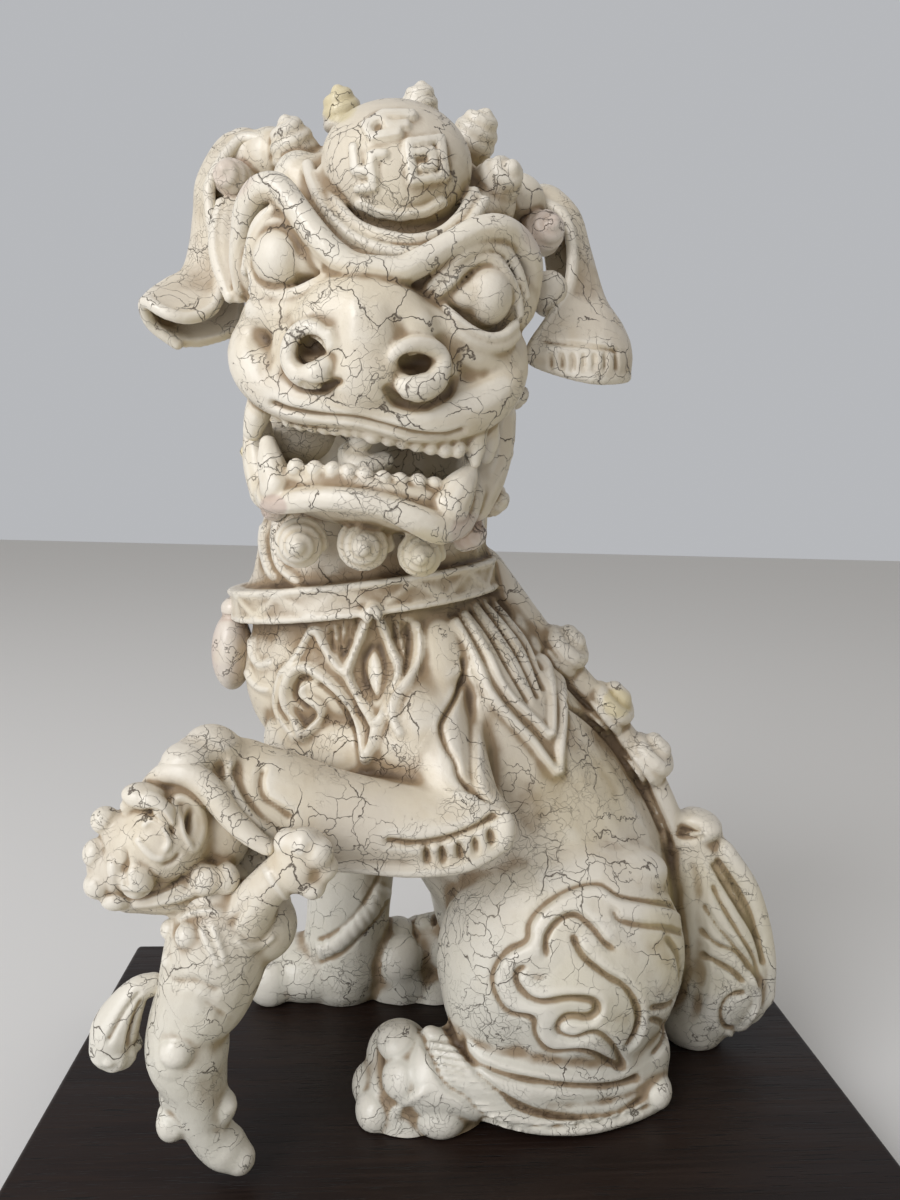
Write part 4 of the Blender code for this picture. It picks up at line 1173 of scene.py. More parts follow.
def raised_foreleg_lumps():
    """Upper arm, forearm with its knob, and the paw with one toe over the cub's head."""
    digit = [(-39, -49, -15, 3), (-34, -51, -13.5, 3.3), (-29, -52, -17.5, 3.2)]
    digit += [(-24, -52, -23.5, 2.9), (-20, -51, -27.5, 2.2)]
    forearm = [(25, -41, -27, 8.8), (10, -42, -27, 9), (-6, -42, -25, 10), (-20, -42, -20.5, 10.5)]
    fringe = [(-8, -47, -33.8, 1.9), (10, -47.5, -35.2, 1.9), (22, -47, -34.5, 2), (29, -46.5, -31, 2.2)]
    lumps = [
        limb([(16, -18, 8, 9), (17, -24, -5, 10), (19, -32, -16, 10), (22, -39.5, -25, 9.5)]),
        limb([*forearm, (-26, -41.5, -17.5, 9.3)]),
        limb(fringe, 3, 2),
        ball(*ELBOW_KNOB),
        ball((-33, -41, -15), (9, 9, 8)),
        limb(digit, 3),
    ]
    return moved(lumps, CHEST) + formed(PAW)


def standing_foreleg_lumps():
    """A straight leg with a strap round it, on a paw with three toes in front."""
    thick = 13.5
    top = CHEST.z - GROUND - 16
    column = [(8, -14, top, thick), (4, -6, top - 22, thick + 0.5), (1, 0, top / 2, thick)]
    column += [(0, 0, 24, thick - 1), (-1, 0, 8, thick)]
    lumps = [limb(column), ball((-11, 0, 7), (17, 12.5, 9.5))]
    for y in (-8, 0, 8):
        lumps.append(ball((-22, y, 6), (7, 4.6, 7)))
    return moved(lumps, FORELEG)


def hind_leg_lumps():
    """A folded hind leg, from the middle of its haunch."""
    lumps = [
        ball((0, 0, 0), (31, 18, 30)),
        ball((-14, -1, -4), (16, 15, 22)),
        limb([(10, 0, -18, 12), (19, 1, -25, 10), (21, 1, -30, 8)]),
        limb([(20, 1, -28, 9), (2, -4, -26, 11), (-16, -6, -25.5, 11.5), (-31, -7, -26.5, 9.8)]),
    ]
    return moved(lumps, HAUNCH)


# The toes of a hind foot, and the knob of its heel
HIND_TOES = (
    ((399, 1041, -13.5), (5.4, 6, 4.2)),
    ((406, 1076, -18.4), (5.8, 6, 5.8)),
    ((376, 1108, -17.8), (5.0, 5.8, 5.2)),
    ((441, 1113, -21.4), (6.6, 5.6, 5.4)),
    ((408, 1124, -19.8), (6.0, 4.8, 3.8)),
    ((369, 1084, -12), (4.2, 6, 4.8)),
    ((653, 1088, -14.5), (4.6, 5.4, 4.6)),
    ((403, 1104, -18.0), (6.6, 5.4, 6.4)),
)

# The foot under its toes, and its ruff
HIND_FOOT = (
    [(399, 1054, -9, 8.4), (402, 1086, -12, 11.4), (404, 1110, -15, 9.6)],
    ((444, 1108, -13), (10, 11.5, 8.5)),
    ((640, 1084, -12), (7, 7, 6)),
    [(430, 1036, -15, 2.8), (440, 1056, -19, 3.2), (455, 1080, -22, 3.5), (476, 1099, -24, 3.5),
     (507, 1113, -25, 3.4), (545, 1121, -25, 3.2), (590, 1121, -24, 3.0), (628, 1111, -20, 3.0),
     (652, 1101, -15, 3.0)],
)


def far_side(lumps):
    """Carry near lumps over to the far side, turned over like a hand."""
    over = Matrix.Translation((0, 2 * MIDDLE * MM, 0)) @ Matrix.Diagonal((1, -1, 1, 1))
    for lump in lumps:
        lump.data.transform(over)
        lump.data.flip_normals()
    return lumps


def tail_lumps():
    """A plume that stands against the rump, with a scroll at its foot."""
    lumps = [
        limb([(31, 0, 30, 7), (34, 0, 18, 10), (38, 0, 5, 13), (40, 0, -10, 14), (35, 0, -22, 10)]),
        ball((33, 0, 33.5), (6.5, 9, 4)),
        limb([(39, -5, 28, 3), (46, -5, 16, 4), (51, -5, 0, 4), (52, -5, -13, 4)]),
        snail((47, -6, -15), (0.2, -1, 0), 9, 5, 2.6, 1.3),
    ]
    return moved(lumps, RUMP)


# What is cut out of the pressed body, and the lumps that say where
CASTINGS = {
    "raised_foreleg": raised_foreleg_lumps,
    "standing_foreleg": standing_foreleg_lumps,
    "hind_leg_left": hind_leg_lumps,
    "hind_leg_right": lambda: far_side(hind_leg_lumps()),
    "tail": tail_lumps,
}

# Where the tone differs, in places a painted warm shade, and where the wash and painted shade are heavier or
# lighter
BODY_TINTS_AND_SHADE = ((617, 703, 15, 0.8), (710, 930, 70, 0.35), (580, 800, 50, 0.3), (600, 990, 50, 0.25))
BODY_WASH_AND_SHADE = ((545, 800, 36, 0.4), (600, 765, 32, 0.3), (420, 565, 50, 0.35), (300, 560, 40, 0.3),
               (710, 930, 60, 0.45), (700, 860, 40, 0.35), (610, 985, 40, 0.35), (568, 862, 36, -0.9),
               (630, 830, 32, -0.6))


def body_clay():
    """Trunk, legs and tail pressed together as one and carved, with the fine lumps pressed on after."""
    lumps = trunk_lumps()
    for parts in CASTINGS.values():
        lumps += parts()
    lumps += formed(HIND_FOOT) + far_side(formed(HIND_FOOT))
    mass = press(lumps, BODY_MASS_VOXEL, MASS_SOFTENING)
    body = press([mass, *fine_lumps()], BODY_VOXEL)
    return weathered(carved_body(body), BODY_TINTS_AND_SHADE, BODY_WASH_AND_SHADE)


def cut(obj, tool, operation):
    """Cut one clay by another."""
    cutter = obj.modifiers.new("cut", "BOOLEAN")
    cutter.operation = operation
    cutter.solver = "MANIFOLD"
    cutter.object = tool
    return apply_all(obj)


def copy_of(obj, name):
    """The same clay again, under another name."""
    other = bpy.data.objects.new(name, obj.data.copy())
    bpy.context.scene.collection.objects.link(other)
    return other


def flat_sole(obj):
    """Cut what reaches below the plinth's top."""
    span = 500.0
    depth = 60.0
    bpy.ops.mesh.primitive_cube_add(size=1.0)
    below = bpy.context.object
    size = Matrix.Diagonal((span * MM, span * MM, depth * MM, 1.0))
    below.data.transform(Matrix.Translation((0, 0, (GROUND - depth / 2) * MM)) @ size)
    cut(obj, below, "DIFFERENCE")
    bpy.data.objects.remove(below)
    return obj


# How coarsely the tools that cut the castings are pressed, and how far they reach beyond their lumps
TOOL_VOXEL = 1.4
TOOL_SKIN = 1.3
TOOL_SWELL = 1.6


def castings_from(body):
    """Cut the limbs out of the pressed body, so that each casting is a piece of its own."""
    pieces = {}
    for name, parts in CASTINGS.items():
        lumps = parts()
        if name.startswith("hind_leg"):
            foot = formed(HIND_TOES + HIND_FOOT)
            lumps += foot if name == "hind_leg_left" else far_side(foot)
        tool = press(lumps, TOOL_VOXEL, 1)
        swell = tool.modifiers.new("swell", "DISPLACE")
        swell.strength = TOOL_SWELL * MM
        swell.mid_level = 0.0
        skin = tool.modifiers.new("skin", "REMESH")
        skin.mode = "VOXEL"
        skin.voxel_size = TOOL_SKIN * MM
        apply_all(tool)
        pieces[name] = healed(cut(copy_of(body, name), tool, "INTERSECT"))
        cut(body, tool, "DIFFERENCE")
        bpy.data.objects.remove(tool)
    pieces["torso"] = healed(body)
    return pieces


# The cub

# Rows of the cub's trunk and of the arm that holds the lion's forearm, its other masses and its knobs
CUB_TRUNK = [(214, 900, -34, 9.0), (221, 928, -35.5, 11.0), (214, 962, -36, 10.8), (204, 992, -36, 10.0),
             (190, 1020, -36, 8.6), (188, 1052, -36, 8.7), (197, 1088, -36, 6.5), (203, 1116, -36, 5.1),
             (214, 1137, -35.5, 4.8), (228, 1149, -35.5, 4.7), (240, 1158, -36, 3.5)]
CUB_ARM = [(238, 930, -37, 7.5), (252, 906, -40, 5.2), (268, 886, -42, 4.3), (288, 868, -43, 4.3)]
CUB_MASSES = (
    ((262, 925, -34), (7.5, 8, 7.5)),
    ((208, 1046, -36), (4.4, 7, 8)),
    ((300, 860, -44), (5.4, 4.2, 7.2), (0, 25, 0)),
    ((178, 1050, -40), (5.4, 5.4, 7)),
    ((288, 842, -44.5), 3.0),
    ((303, 843, -46), 3.2),
    ((318, 852, -46), 3.2),
    ((324, 867, -44.5), 3.0),
    ((313, 886, -44.5), 2.8),
    ((172, 1122, -37.5), (3.4, 3.4, 4.2)),
    ((225, 1106, -36.5), (2.6, 3.0, 3.6)),
    ((172, 1094, -37), (2.8, 3.0, 3.4)),
)
CUB_KNOBS = (
    (188, 935, -43.5, 2.6),
    (173, 959, -41.0, 2.3),
    (171, 929, -39, 2.2),
    (178, 1048, -42.6, 3.9),
    (168, 1113, -37.5, 2.2),
    (176, 1127, -38.6, 2.2),
    (228, 1106, -37, 2.0),
)


def cub_lumps():
    """The cub's trunk, leg and arm blended softly, and its knobs."""
    masses = [roll(CUB_TRUNK, sides=7), roll(CUB_ARM, sides=7), *formed(CUB_MASSES)]
    mass = press(masses, CUB_MASS_VOXEL, CUB_SOFTENING)
    return [mass, *(spot((px, py, depth), radius) for px, py, depth, radius in CUB_KNOBS)]


CUB_LIMITS = (-60, -28)
CUB_CREASES = (
    [(236, 1020), (221, 1014), (205, 1003), (196, 996)],
    [(165, 973), (178, 981), (196, 982), (215, 990), (229, 984)],
    [(205, 1134), (214, 1132), (224, 1134)],
    [(228, 930), (238, 914), (250, 898)],
    [(297, 832), (295, 842), (297, 853)],
    [(311, 838), (309, 849), (311, 860)],
    [(327, 858), (318, 862), (312, 868)],
    [(325, 877), (316, 877), (308, 880)],
)
CUB_RIBBONS = (
    [(201, 925), (206, 940), (213, 954), (219, 969)],
    [(212, 922), (217, 938), (222, 952), (225, 965)],
    [(264, 866), (272, 880), (284, 894), (291, 902)],
    [(178, 922), (190, 914), (206, 911), (222, 913)],
    [(234, 938), (247, 947), (262, 945), (276, 934)],
)


def cub_clay():
    """The cub, with the creases of its hip, knee and heel."""
    skin = Carving(press(cub_lumps(), CUB_VOXEL, 3))
    skin.ridges(CUB_CREASES, 1.3, -0.6, CUB_LIMITS, 5.0)
    skin.ridges(CUB_RIBBONS, 0.9, 0.65, CUB_LIMITS)
    return weathered(softened(skin.done()))


# The cub's head, thrown back: its skull, snout, jaw and mane, then its nose, brows, eye and beard
CUB_HEAD_MASSES = (
    ((166, 832, -37), (9.6, 9.5, 10.5)),
    ((176, 806, -36), (7.6, 8, 6.5)),
    ((128, 862, -37), (8.0, 8.2, 7.8)),
    ((144, 842, -38), (8.0, 7.8, 8.4)),
    [(134, 884, -38, 5.8), (168, 882, -37, 6.6), (200, 878, -36, 6.0)],
    [(182, 880, -36, 6.2), (196, 900, -34.5, 6.4)],
    [(106, 822, -39, 2.4), (126, 834, -39, 5.0)],
    ((215, 835, -33), (7.5, 6, 8.5)),
    [(150, 785, -38, 2.0), (164, 774, -39, 2.4), (182, 772, -40, 2.7), (199, 779, -40.5, 2.8),
     (215, 795, -41, 2.8), (230, 816, -41.5, 2.6), (250, 835, -42, 2.3), (268, 848, -42, 1.8)],
    ((154, 836, -42.8), (3.2, 3.0, 3.2)),
    ((207, 880, -41), (3.4, 3.0, 3.2)),
    ((227, 879, -40), (2.8, 2.8, 3.4)),
)
CUB_HEAD_FEATURES = (
    ((105, 820, -40), (2.8, 2.8, 2.8)),
    ((145, 796, -42), (4.6, 3.6, 2.6), (0, 10, 0)),
    [(128, 806, -41, 1.6), (136, 799, -42.5, 2.0), (150, 800, -44, 2.1), (163, 810, -44.6, 1.8),
     (170, 822, -44.8, 1.2)],
    ((96, 853, -41), (2.6, 2.8, 3.0)),
    ((100, 884, -42), (3.2, 3.0, 3.0)),
    ((137, 879, -44.4), (3.5, 2.8, 4.0)),
    ((117, 898, -42), (3.2, 3.0, 2.4)),
    [(111, 858, -43.6, 1.1), (115, 868, -44.4, 1.7), (116, 879, -44.2, 1.4), (112, 888, -43.6, 1.0)],
)


CUB_FACE_RIDGES = (
    [(141, 828), (152, 821), (164, 829), (169, 843), (162, 853)],
    [(135, 836), (144, 848), (155, 857), (167, 858)],
    [(172, 799), (177, 812), (184, 830), (193, 849), (201, 838), (203, 820), (197, 806), (184, 798),
     (174, 799)],
    [(130, 905), (150, 904), (176, 899), (196, 892)],
)
CUB_EAR_HOLLOW = (190, 824, 5, 13, -2.0)
CUB_FACE_CREASES = (
    [(124, 846), (127, 860), (124, 874), (127, 890)],
    [(120, 893), (140, 896), (164, 890), (186, 876)],
    [(144, 812), (158, 812), (169, 824), (174, 838)],
    [(160, 866), (172, 862), (181, 852)],
)


def cub_head_clay():
    """The cub's head with the folds of its face."""
    mass = press(formed(CUB_HEAD_MASSES), CUB_MASS_VOXEL, CUB_SOFTENING)
    skin = Carving(press([mass, *formed(CUB_HEAD_FEATURES)], CUB_HEAD_VOXEL))
    skin.ridges(CUB_FACE_RIDGES, 0.9, 0.6, CUB_LIMITS)
    skin.ridges(CUB_FACE_CREASES, 0.7, -0.6, CUB_LIMITS)
    skin.dent(*CUB_EAR_HOLLOW, CUB_LIMITS)
    return weathered(softened(skin.done()))


CUB_TAIL = [(153, 984, -36, 2.4), (139, 989, -37, 2.8), (127, 1004, -37.3, 3.8), (116, 1026, -37.5, 4.9),
            (112, 1046, -37.5, 4.6)]
CUB_TAIL_CURLS = (((115, 1052, -38.5), (-0.1, -1, 0), 5.0, 4.0, 2.4, 1.5),)
CUB_TAIL_STRANDS = (
    [(141, 991), (126, 1010), (114, 1030), (106, 1044)],
    [(143, 998), (135, 1016), (130, 1034), (128, 1048)],
)


def cub_tail_clay():
    """The cub's tail, which ends in a curl."""
    skin = Carving(press([roll(CUB_TAIL, sides=6), *curls(CUB_TAIL_CURLS)], CUB_VOXEL))
    skin.ridges(CUB_TAIL_STRANDS, 0.7, -0.7, CUB_LIMITS)
    return weathered(softened(skin.done()))


# The plinth

SCREW_PLACES = ((HAUNCH.x - 14, HAUNCH.y - 5), (FORELEG.x, FORELEG.y), (HAUNCH.x + 10, MIDDLE))
SCREW_SHANK = 1.9
SCREW_HEAD = 3.8
SCREW_GRIP = 9.0
SCREW_CLEARANCE = 0.4
RECESS_DEPTH = 5.0
PLINTH_EDGE = 1.5


def rod(radius, bottom, top, place):
    """An upright cylinder between two heights."""
    bpy.ops.mesh.primitive_cylinder_add(vertices=40, radius=radius * MM, depth=(top - bottom) * MM)
    obj = bpy.context.object
    obj.data.transform(Matrix.Translation(Vector((*place, (top + bottom) / 2)) * MM))
    return obj


def bored(obj, radius, bottom, top, places):
    """Bore upright holes."""
    for place in places:
        drill = rod(radius, bottom, top, place)
        cut(obj, drill, "DIFFERENCE")
        bpy.data.objects.remove(drill)
    return obj


def plinth_block():
    """The wooden block, its edges rounded, with the stepped ways of the screws."""
    low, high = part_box("plinth")
    bpy.ops.mesh.primitive_cube_add(size=1.0)
    obj = bpy.context.object
    obj.data.transform(Matrix.LocRotScale((low + high) / 2, None, high - low))
    edge = obj.modifiers.new("edge", "BEVEL")
    edge.width = PLINTH_EDGE * MM
    edge.segments = 5
    apply_all(obj)
    seat = low.z / MM + RECESS_DEPTH
    bored(obj, SCREW_HEAD + SCREW_CLEARANCE, low.z / MM - 1.0, seat, SCREW_PLACES)
    return bored(obj, SCREW_SHANK + SCREW_CLEARANCE, seat - 1.0, high.z / MM + 1.0, SCREW_PLACES)


# Finishes: their colours as red, green, blue and alpha

IVORY = (0.64, 0.575, 0.475, 1)
IVORY_MOTTLE = (0.69, 0.615, 0.485, 1)
ROSY = (0.56, 0.46, 0.385, 1)
ROSY_MOTTLE = (0.50, 0.40, 0.36, 1)
STAINED = (0.56, 0.46, 0.32, 1)
COOL_FOOT = (0.64, 0.635, 0.575, 1)
# The wash colour is the brown wash and also painted shade in broad hollows and on the side away from the
# light; the deep one is darkest in the deepest recesses
WASH_AND_SHADE = (0.235, 0.150, 0.070, 1)
DEEP_WASH_AND_SHADE = (0.075, 0.042, 0.018, 1)
RUBBED = (0.78, 0.74, 0.66, 1)
# The yellow is the paint's own tint and also painted warm shade on the side away from the light
YELLOW_AND_WARM_SHADE = (0.60, 0.50, 0.24, 1)
PINKED = (0.50, 0.36, 0.31, 1)
CRACK = (0.055, 0.034, 0.018, 1)
WOOD_DARK = (0.0110, 0.0055, 0.0042, 1)
WOOD_WARM = (0.018, 0.0098, 0.0074, 1)
WOOD_STREAK = (0.028, 0.016, 0.0115, 1)
WOOD_PORE = (0.004, 0.0025, 0.002, 1)
FELT_DARK = (0.012, 0.012, 0.013, 1)
FELT_PALE = (0.05, 0.048, 0.046, 1)
ZINC_DULL = (0.48, 0.49, 0.50, 1)
ZINC_BRIGHT = (0.66, 0.67, 0.66, 1)
FLOOR_COLOUR = (0.8, 0.8, 0.8, 1)
SKY = (0.97, 0.94, 0.90, 1)
SKY_STRENGTH = 0.42
BACKDROP = (0.47, 0.48, 0.50, 1)

# Nets of cracks: scale and width, the scale and bounds of the patches that they come in, and strength
CRACK_NETS = (
    (84.0, 0.018, 75.0, 0.45, 0.64, 1.0),
    (200.0, 0.027, 90.0, 0.44, 0.66, 0.8),
    (430.0, 0.030, 60.0, 0.50, 0.66, 0.45),
)

# The lamps: name, place, aim, watts, width in metres and colour
LAMPS = (
    ("window", (-0.86, -0.90, 0.95), (0, 0, 0.13), 13.0, 0.75, (0.98, 0.98, 1.0)),
    ("low", (-0.75, -0.80, 0.14), (0, 0, 0.07), 3.6, 0.6, (0.92, 0.96, 1.0)),
)


def shader_of(name, roughness=0.5):
    """A new material, its node tree and its shader."""
    material = bpy.data.materials.new(name)
    material.use_nodes = True
    shader = material.node_tree.nodes["Principled BSDF"]
    shader.inputs["Roughness"].default_value = roughness
    return material, material.node_tree, shader


def give(tree, socket, value):
    """Set a socket, or link another to it."""
    if isinstance(value, bpy.types.NodeSocket):
        tree.links.new(value, socket)
    else:
        socket.default_value = value


def node(tree, kind, inputs, **settings):
    """A shader node with its settings and inputs."""
    made = tree.nodes.new("ShaderNode" + kind)
    for name, value in settings.items():
        setattr(made, name, value)
    for name, value in inputs.items():
        give(tree, made.inputs[name], value)
    return made


def in_place(tree):
    """Where on the object a point is, in metres."""
    return node(tree, "TexCoord", {}).outputs["Object"]


def noise(tree, place, scale, detail=4.0):
    """A cloudy pattern from 0 to 1."""
    return node(tree, "TexNoise", {"Vector": place, "Scale": scale, "Detail": detail}).outputs["Fac"]


def eased(tree, value, low, high, to_low=0.0, to_high=1.0):
    """A value's way from low to high, eased at both ends."""
    inputs = {"Value": value, "From Min": low, "From Max": high, "To Min": to_low, "To Max": to_high}
    return node(tree, "MapRange", inputs, interpolation_type="SMOOTHSTEP").outputs["Result"]


def reckoned(tree, operation, first, second):
    """A number worked out from two others."""
    return node(tree, "Math", {0: first, 1: second}, operation=operation).outputs[0]


def stretched(tree, place, times):
    """The place with each of its axes stretched."""
    return node(tree, "VectorMath", {0: place, 1: times}, operation="MULTIPLY").outputs[0]


def mixed(tree, share, first, second):
    """Two colours mixed by a share."""
    mix = node(tree, "Mix", {}, data_type="RGBA")
    for index, value in ((0, share), (6, first), (7, second)):
        give(tree, mix.inputs[index], value)
    return mix.outputs[2]


def bumped(tree, shader, height, distance):
    """Raise the shader's surface by a height."""
    bump = node(tree, "Bump", {"Height": height, "Distance": distance, "Strength": 1.0})
    give(tree, shader.inputs["Normal"], bump.outputs["Normal"])


def crackle(tree, place, scale, width, patch, low, high):
    """A net of cracks that comes and goes in patches."""
    cells = node(tree, "TexVoronoi", {"Vector": place, "Scale": scale}, feature="DISTANCE_TO_EDGE")
    reach = eased(tree, noise(tree, place, patch, 2.0), low, high, 0.0001, width)
    return eased(tree, cells.outputs["Distance"], 0.0, reach, 1.0, 0.0)


def mottled(tree, place, tone, mottle):
    """The paint's own colour, cloudy and stained, and cooler towards the foot."""
    colour = mixed(tree, eased(tree, noise(tree, place, 34.0), 0.40, 0.62), tone, mottle)
    stain = eased(tree, noise(tree, place, 120.0, 6.0), 0.50, 0.72, 0.0, 0.45)
    colour = mixed(tree, stain, colour, STAINED)
    height = node(tree, "SeparateXYZ", {0: place}).outputs[2]
    return mixed(tree, eased(tree, height, 0.105, 0.045, 0.0, 0.65), colour, COOL_FOOT)


def washed(tree, place, colour):
    """Brown wash and painted shade in the hollows and on the side away from the light, rubbed high points,
    and tints where they are noted, some of them painted warm shade.
    """
    hollow = node(tree, "Attribute", {}, attribute_name="hollow").outputs["Fac"]
    tint_and_shade = node(tree, "Attribute", {}, attribute_name="tint_and_shade").outputs["Fac"]
    cloud = eased(tree, noise(tree, place, 75.0, 5.0), 0.3, 0.7, -0.45, 0.45)
    patchy = reckoned(tree, "ADD", hollow, cloud)
    wash_and_shade = eased(tree, patchy, 0.0, 1.2)
    colour = mixed(tree, reckoned(tree, "MULTIPLY", wash_and_shade, 0.86), colour, WASH_AND_SHADE)
    # Darkest in the deepest recesses: heavier wash and painted shade
    colour = mixed(tree, eased(tree, patchy, 1.2, 2.6, 0.0, 0.85), colour, DEEP_WASH_AND_SHADE)
    colour = mixed(tree, eased(tree, hollow, -0.35, -1.2, 0.0, 0.55), colour, RUBBED)
    # Yellow where tints are noted, and painted warm shade on the side away from the light
    colour = mixed(tree, eased(tree, tint_and_shade, 0.0, 1.0, 0.0, 0.6), colour, YELLOW_AND_WARM_SHADE)
    colour = mixed(tree, eased(tree, tint_and_shade, 0.0, -1.0, 0.0, 0.6), colour, PINKED)
    return colour, wash_and_shade


def crackled(tree, place):
    """Where cracks of three sizes and pin-holes are."""
    stir = node(tree, "TexNoise", {"Vector": place, "Scale": 150.0, "Detail": 4.0}).outputs["Color"]
    bent = node(tree, "VectorMath", {0: stir, 1: (0.009,) * 3, 2: place}, operation="MULTIPLY_ADD").outputs[0]
    lines = 0.0
    for *net, strength in CRACK_NETS:
        cracks = reckoned(tree, "MULTIPLY", crackle(tree, bent, *net), strength)
        lines = reckoned(tree, "MAXIMUM", lines, cracks)
    pits = node(tree, "TexVoronoi", {"Vector": place, "Scale": 62.0})
    few = eased(tree, pits.outputs["Color"], 0.74, 0.76)
    pit = reckoned(tree, "MULTIPLY", few, eased(tree, pits.outputs["Distance"], 0.020, 0.034, 1.0, 0.0))
    return reckoned(tree, "MAXIMUM", lines, pit)


def ivory(name, tone, mottle):
    """Crackled ivory paint, brown in its hollows from wash and painted shade, and rubbed pale on its high
    points.
    """
    material, tree, shader = shader_of(name)
    place = in_place(tree)
    colour, wash_and_shade = washed(tree, place, mottled(tree, place, tone, mottle))
    marks = crackled(tree, place)
    colour = mixed(tree, reckoned(tree, "MULTIPLY", marks, 0.88), colour, CRACK)
    give(tree, shader.inputs["Base Color"], colour)
    rough = eased(tree, noise(tree, place, 90.0), 0.3, 0.7, 0.30, 0.46)
    rough = reckoned(tree, "ADD", rough, reckoned(tree, "MULTIPLY", wash_and_shade, 0.25))
    give(tree, shader.inputs["Roughness"], rough)
    grain = reckoned(tree, "MULTIPLY", noise(tree, place, 620.0, 3.0), 0.5)
    bumped(tree, shader, reckoned(tree, "SUBTRACT", grain, marks), 0.00022)
    return material


def wood():
    """Dark stained wood, its grain along the block."""
    material, tree, shader = shader_of("espresso_wood")
    place = in_place(tree)
    flow = noise(tree, stretched(tree, place, (1.0, 9.0, 9.0)), 14.0, 5.0)
    streaks = noise(tree, stretched(tree, place, (0.5, 14.0, 14.0)), 60.0, 6.0)
    pores = eased(tree, noise(tree, stretched(tree, place, (0.35, 9.0, 9.0)), 260.0, 2.0), 0.60, 0.70)
    colour = mixed(tree, eased(tree, flow, 0.35, 0.65), WOOD_DARK, WOOD_WARM)
    colour = mixed(tree, eased(tree, streaks, 0.45, 0.75, 0.0, 0.7), colour, WOOD_STREAK)
    colour = mixed(tree, pores, colour, WOOD_PORE)
    give(tree, shader.inputs["Base Color"], colour)
    give(tree, shader.inputs["Roughness"], eased(tree, streaks, 0.3, 0.8, 0.38, 0.56))
    shader.inputs["Specular IOR Level"].default_value = 0.22
    bumped(tree, shader, reckoned(tree, "SUBTRACT", reckoned(tree, "MULTIPLY", streaks, 0.4), pores), 0.00012)
    return material


def felt():
    """Dark felt."""
    material, tree, shader = shader_of("dark_felt", 0.95)
    place = in_place(tree)
    fibres = noise(tree, place, 2600.0, 3.0)
    give(tree, shader.inputs["Base Color"], mixed(tree, fibres, FELT_DARK, FELT_PALE))
    shader.inputs["Sheen Weight"].default_value = 0.3
    bumped(tree, shader, fibres, 0.0002)
    return material


def steel():
    """Zinc-plated steel."""
    material, tree, shader = shader_of("zinc_steel")
    place = in_place(tree)
    bloom = noise(tree, place, 900.0, 4.0)
    give(tree, shader.inputs["Base Color"], mixed(tree, bloom, ZINC_DULL, ZINC_BRIGHT))
    shader.inputs["Metallic"].default_value = 1.0
    give(tree, shader.inputs["Roughness"], eased(tree, bloom, 0.3, 0.7, 0.28, 0.46))
    bumped(tree, shader, noise(tree, stretched(tree, place, (1.0, 1.0, 0.2)), 3000.0, 2.0), 0.00003)
    return material


def area(name, place, aim, power, size, colour):
    """A soft lamp."""
    lamp = bpy.data.lights.new(name, "AREA")
    lamp.energy = power
    lamp.size = size
    lamp.color = colour
    obj = bpy.data.objects.new(name, lamp)
    bpy.context.scene.collection.objects.link(obj)
    obj.location = place
    obj.rotation_euler = (Vector(aim) - Vector(place)).to_track_quat("-Z", "Y").to_euler()


def studio():
    """The floor, the lamps and the world, which the camera sees as a plain pale backdrop."""
    bpy.ops.mesh.primitive_plane_add(size=6.0)
    floor = bpy.context.object
    floor.name = "floor"
    material, tree, shader = shader_of("pale_floor", 0.8)
    shader.inputs["Base Color"].default_value = FLOOR_COLOUR
    floor.data.materials.append(material)
    world = bpy.data.worlds.new("studio")
    bpy.context.scene.world = world
    world.use_nodes = True
    tree = world.node_tree
    soft = tree.nodes["Background"]
    soft.inputs["Color"].default_value = SKY
    soft.inputs["Strength"].default_value = SKY_STRENGTH
    pale = node(tree, "Background", {"Color": BACKDROP, "Strength": 1.0})
    path = node(tree, "LightPath", {}).outputs
    shown = reckoned(tree, "MAXIMUM", path["Is Camera Ray"], path["Is Glossy Ray"])
    shown = reckoned(tree, "MAXIMUM", shown, path["Is Transmission Ray"])
    either = node(tree, "MixShader", {0: shown})
    tree.links.new(soft.outputs[0], either.inputs[1])
    tree.links.new(pale.outputs[0], either.inputs[2])
    tree.links.new(either.outputs[0], tree.nodes["World Output"].inputs[0])
    for lamp in LAMPS:
        area(*lamp)
    bpy.context.scene.view_settings.view_transform = "Standard"


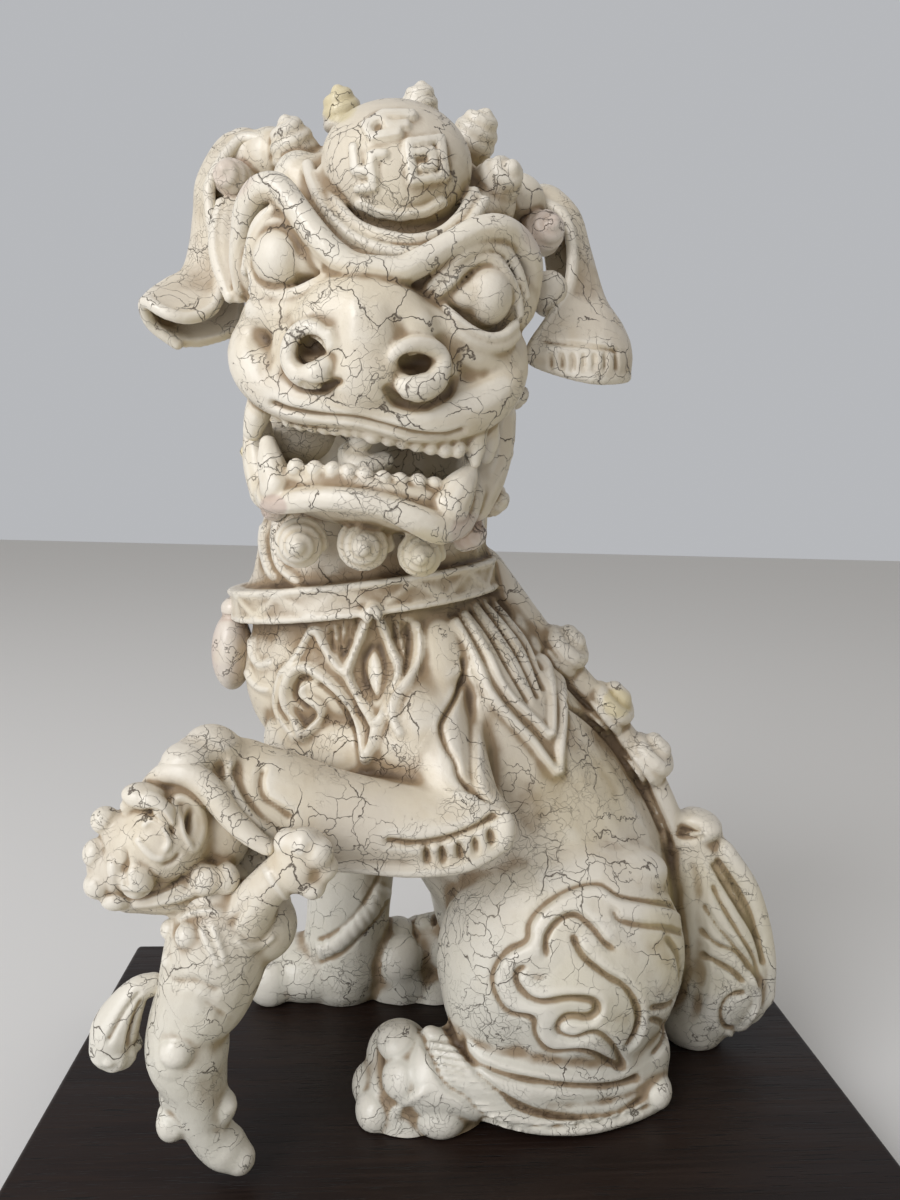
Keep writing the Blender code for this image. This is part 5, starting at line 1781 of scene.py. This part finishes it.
# The most triangles in a piece, and the sharpest angle that is shaded smooth
MOST_TRIANGLES = 185000
SMOOTH_ANGLE = math.radians(60)


def lightened(obj):
    """Thin out a skin that has more triangles than a piece may have."""
    count = sum(len(face.vertices) - 2 for face in obj.data.polygons)
    if count <= MOST_TRIANGLES:
        return obj
    thin = obj.modifiers.new("thin", "DECIMATE")
    thin.ratio = MOST_TRIANGLES / count
    return apply_all(obj)


def finished(obj, name, material, slot, *nodes):
    """Name a piece, give it its finish and let it stand for its CAD nodes."""
    obj.name = name
    obj.data.name = name
    obj.data.materials.clear()
    obj.data.materials.append(material)
    alone(obj)
    bpy.ops.object.shade_smooth_by_angle(angle=SMOOTH_ANGLE)
    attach(obj, BODY)
    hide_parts(*nodes)


def build():
    """Make every piece, and paint the CAD nodes that stay."""
    paint = ivory("ivory_crackle", IVORY, IVORY_MOTTLE)
    rosy = ivory("rosy_crackle", ROSY, ROSY_MOTTLE)
    pieces = castings_from(flat_sole(body_clay()))
    reach = GROUND + SCREW_GRIP + SCREW_CLEARANCE
    for name, place in zip(("hind_leg_left", "standing_foreleg", "torso"), SCREW_PLACES):
        bored(pieces[name], SCREW_SHANK + SCREW_CLEARANCE, GROUND - 1.0, reach, [place])
    pieces["head"] = head_clay()
    pieces["lower_jaw"] = jaw_clay()
    pieces["tongue"] = tongue_clay()
    pieces["ear_left"] = ear_clay(LEFT_EAR, comb=[*EAR_COMB, EAR_FOLD])
    pieces["ear_right"] = ear_clay(RIGHT_EAR)
    pieces["bell"] = bell_clay()
    pieces["cub"] = healed(flat_sole(cub_clay()))
    pieces["cub_head"] = cub_head_clay()
    pieces["cub_tail"] = cub_tail_clay()
    for name, obj in pieces.items():
        finished(lightened(obj), name + "_cast", rosy if name == "bell" else paint, "ivory", name)
    finished(plinth_block(), "plinth_block", wood(), "dark_wood", "plinth")
    metal = steel()
    cloth = felt()
    for name, obj in frame["nodes"].items():
        if name.startswith("screw"):
            obj.data.materials[0] = metal
        if name.startswith("foot_pad"):
            obj.data.materials[0] = cloth


camera()
studio()
build()
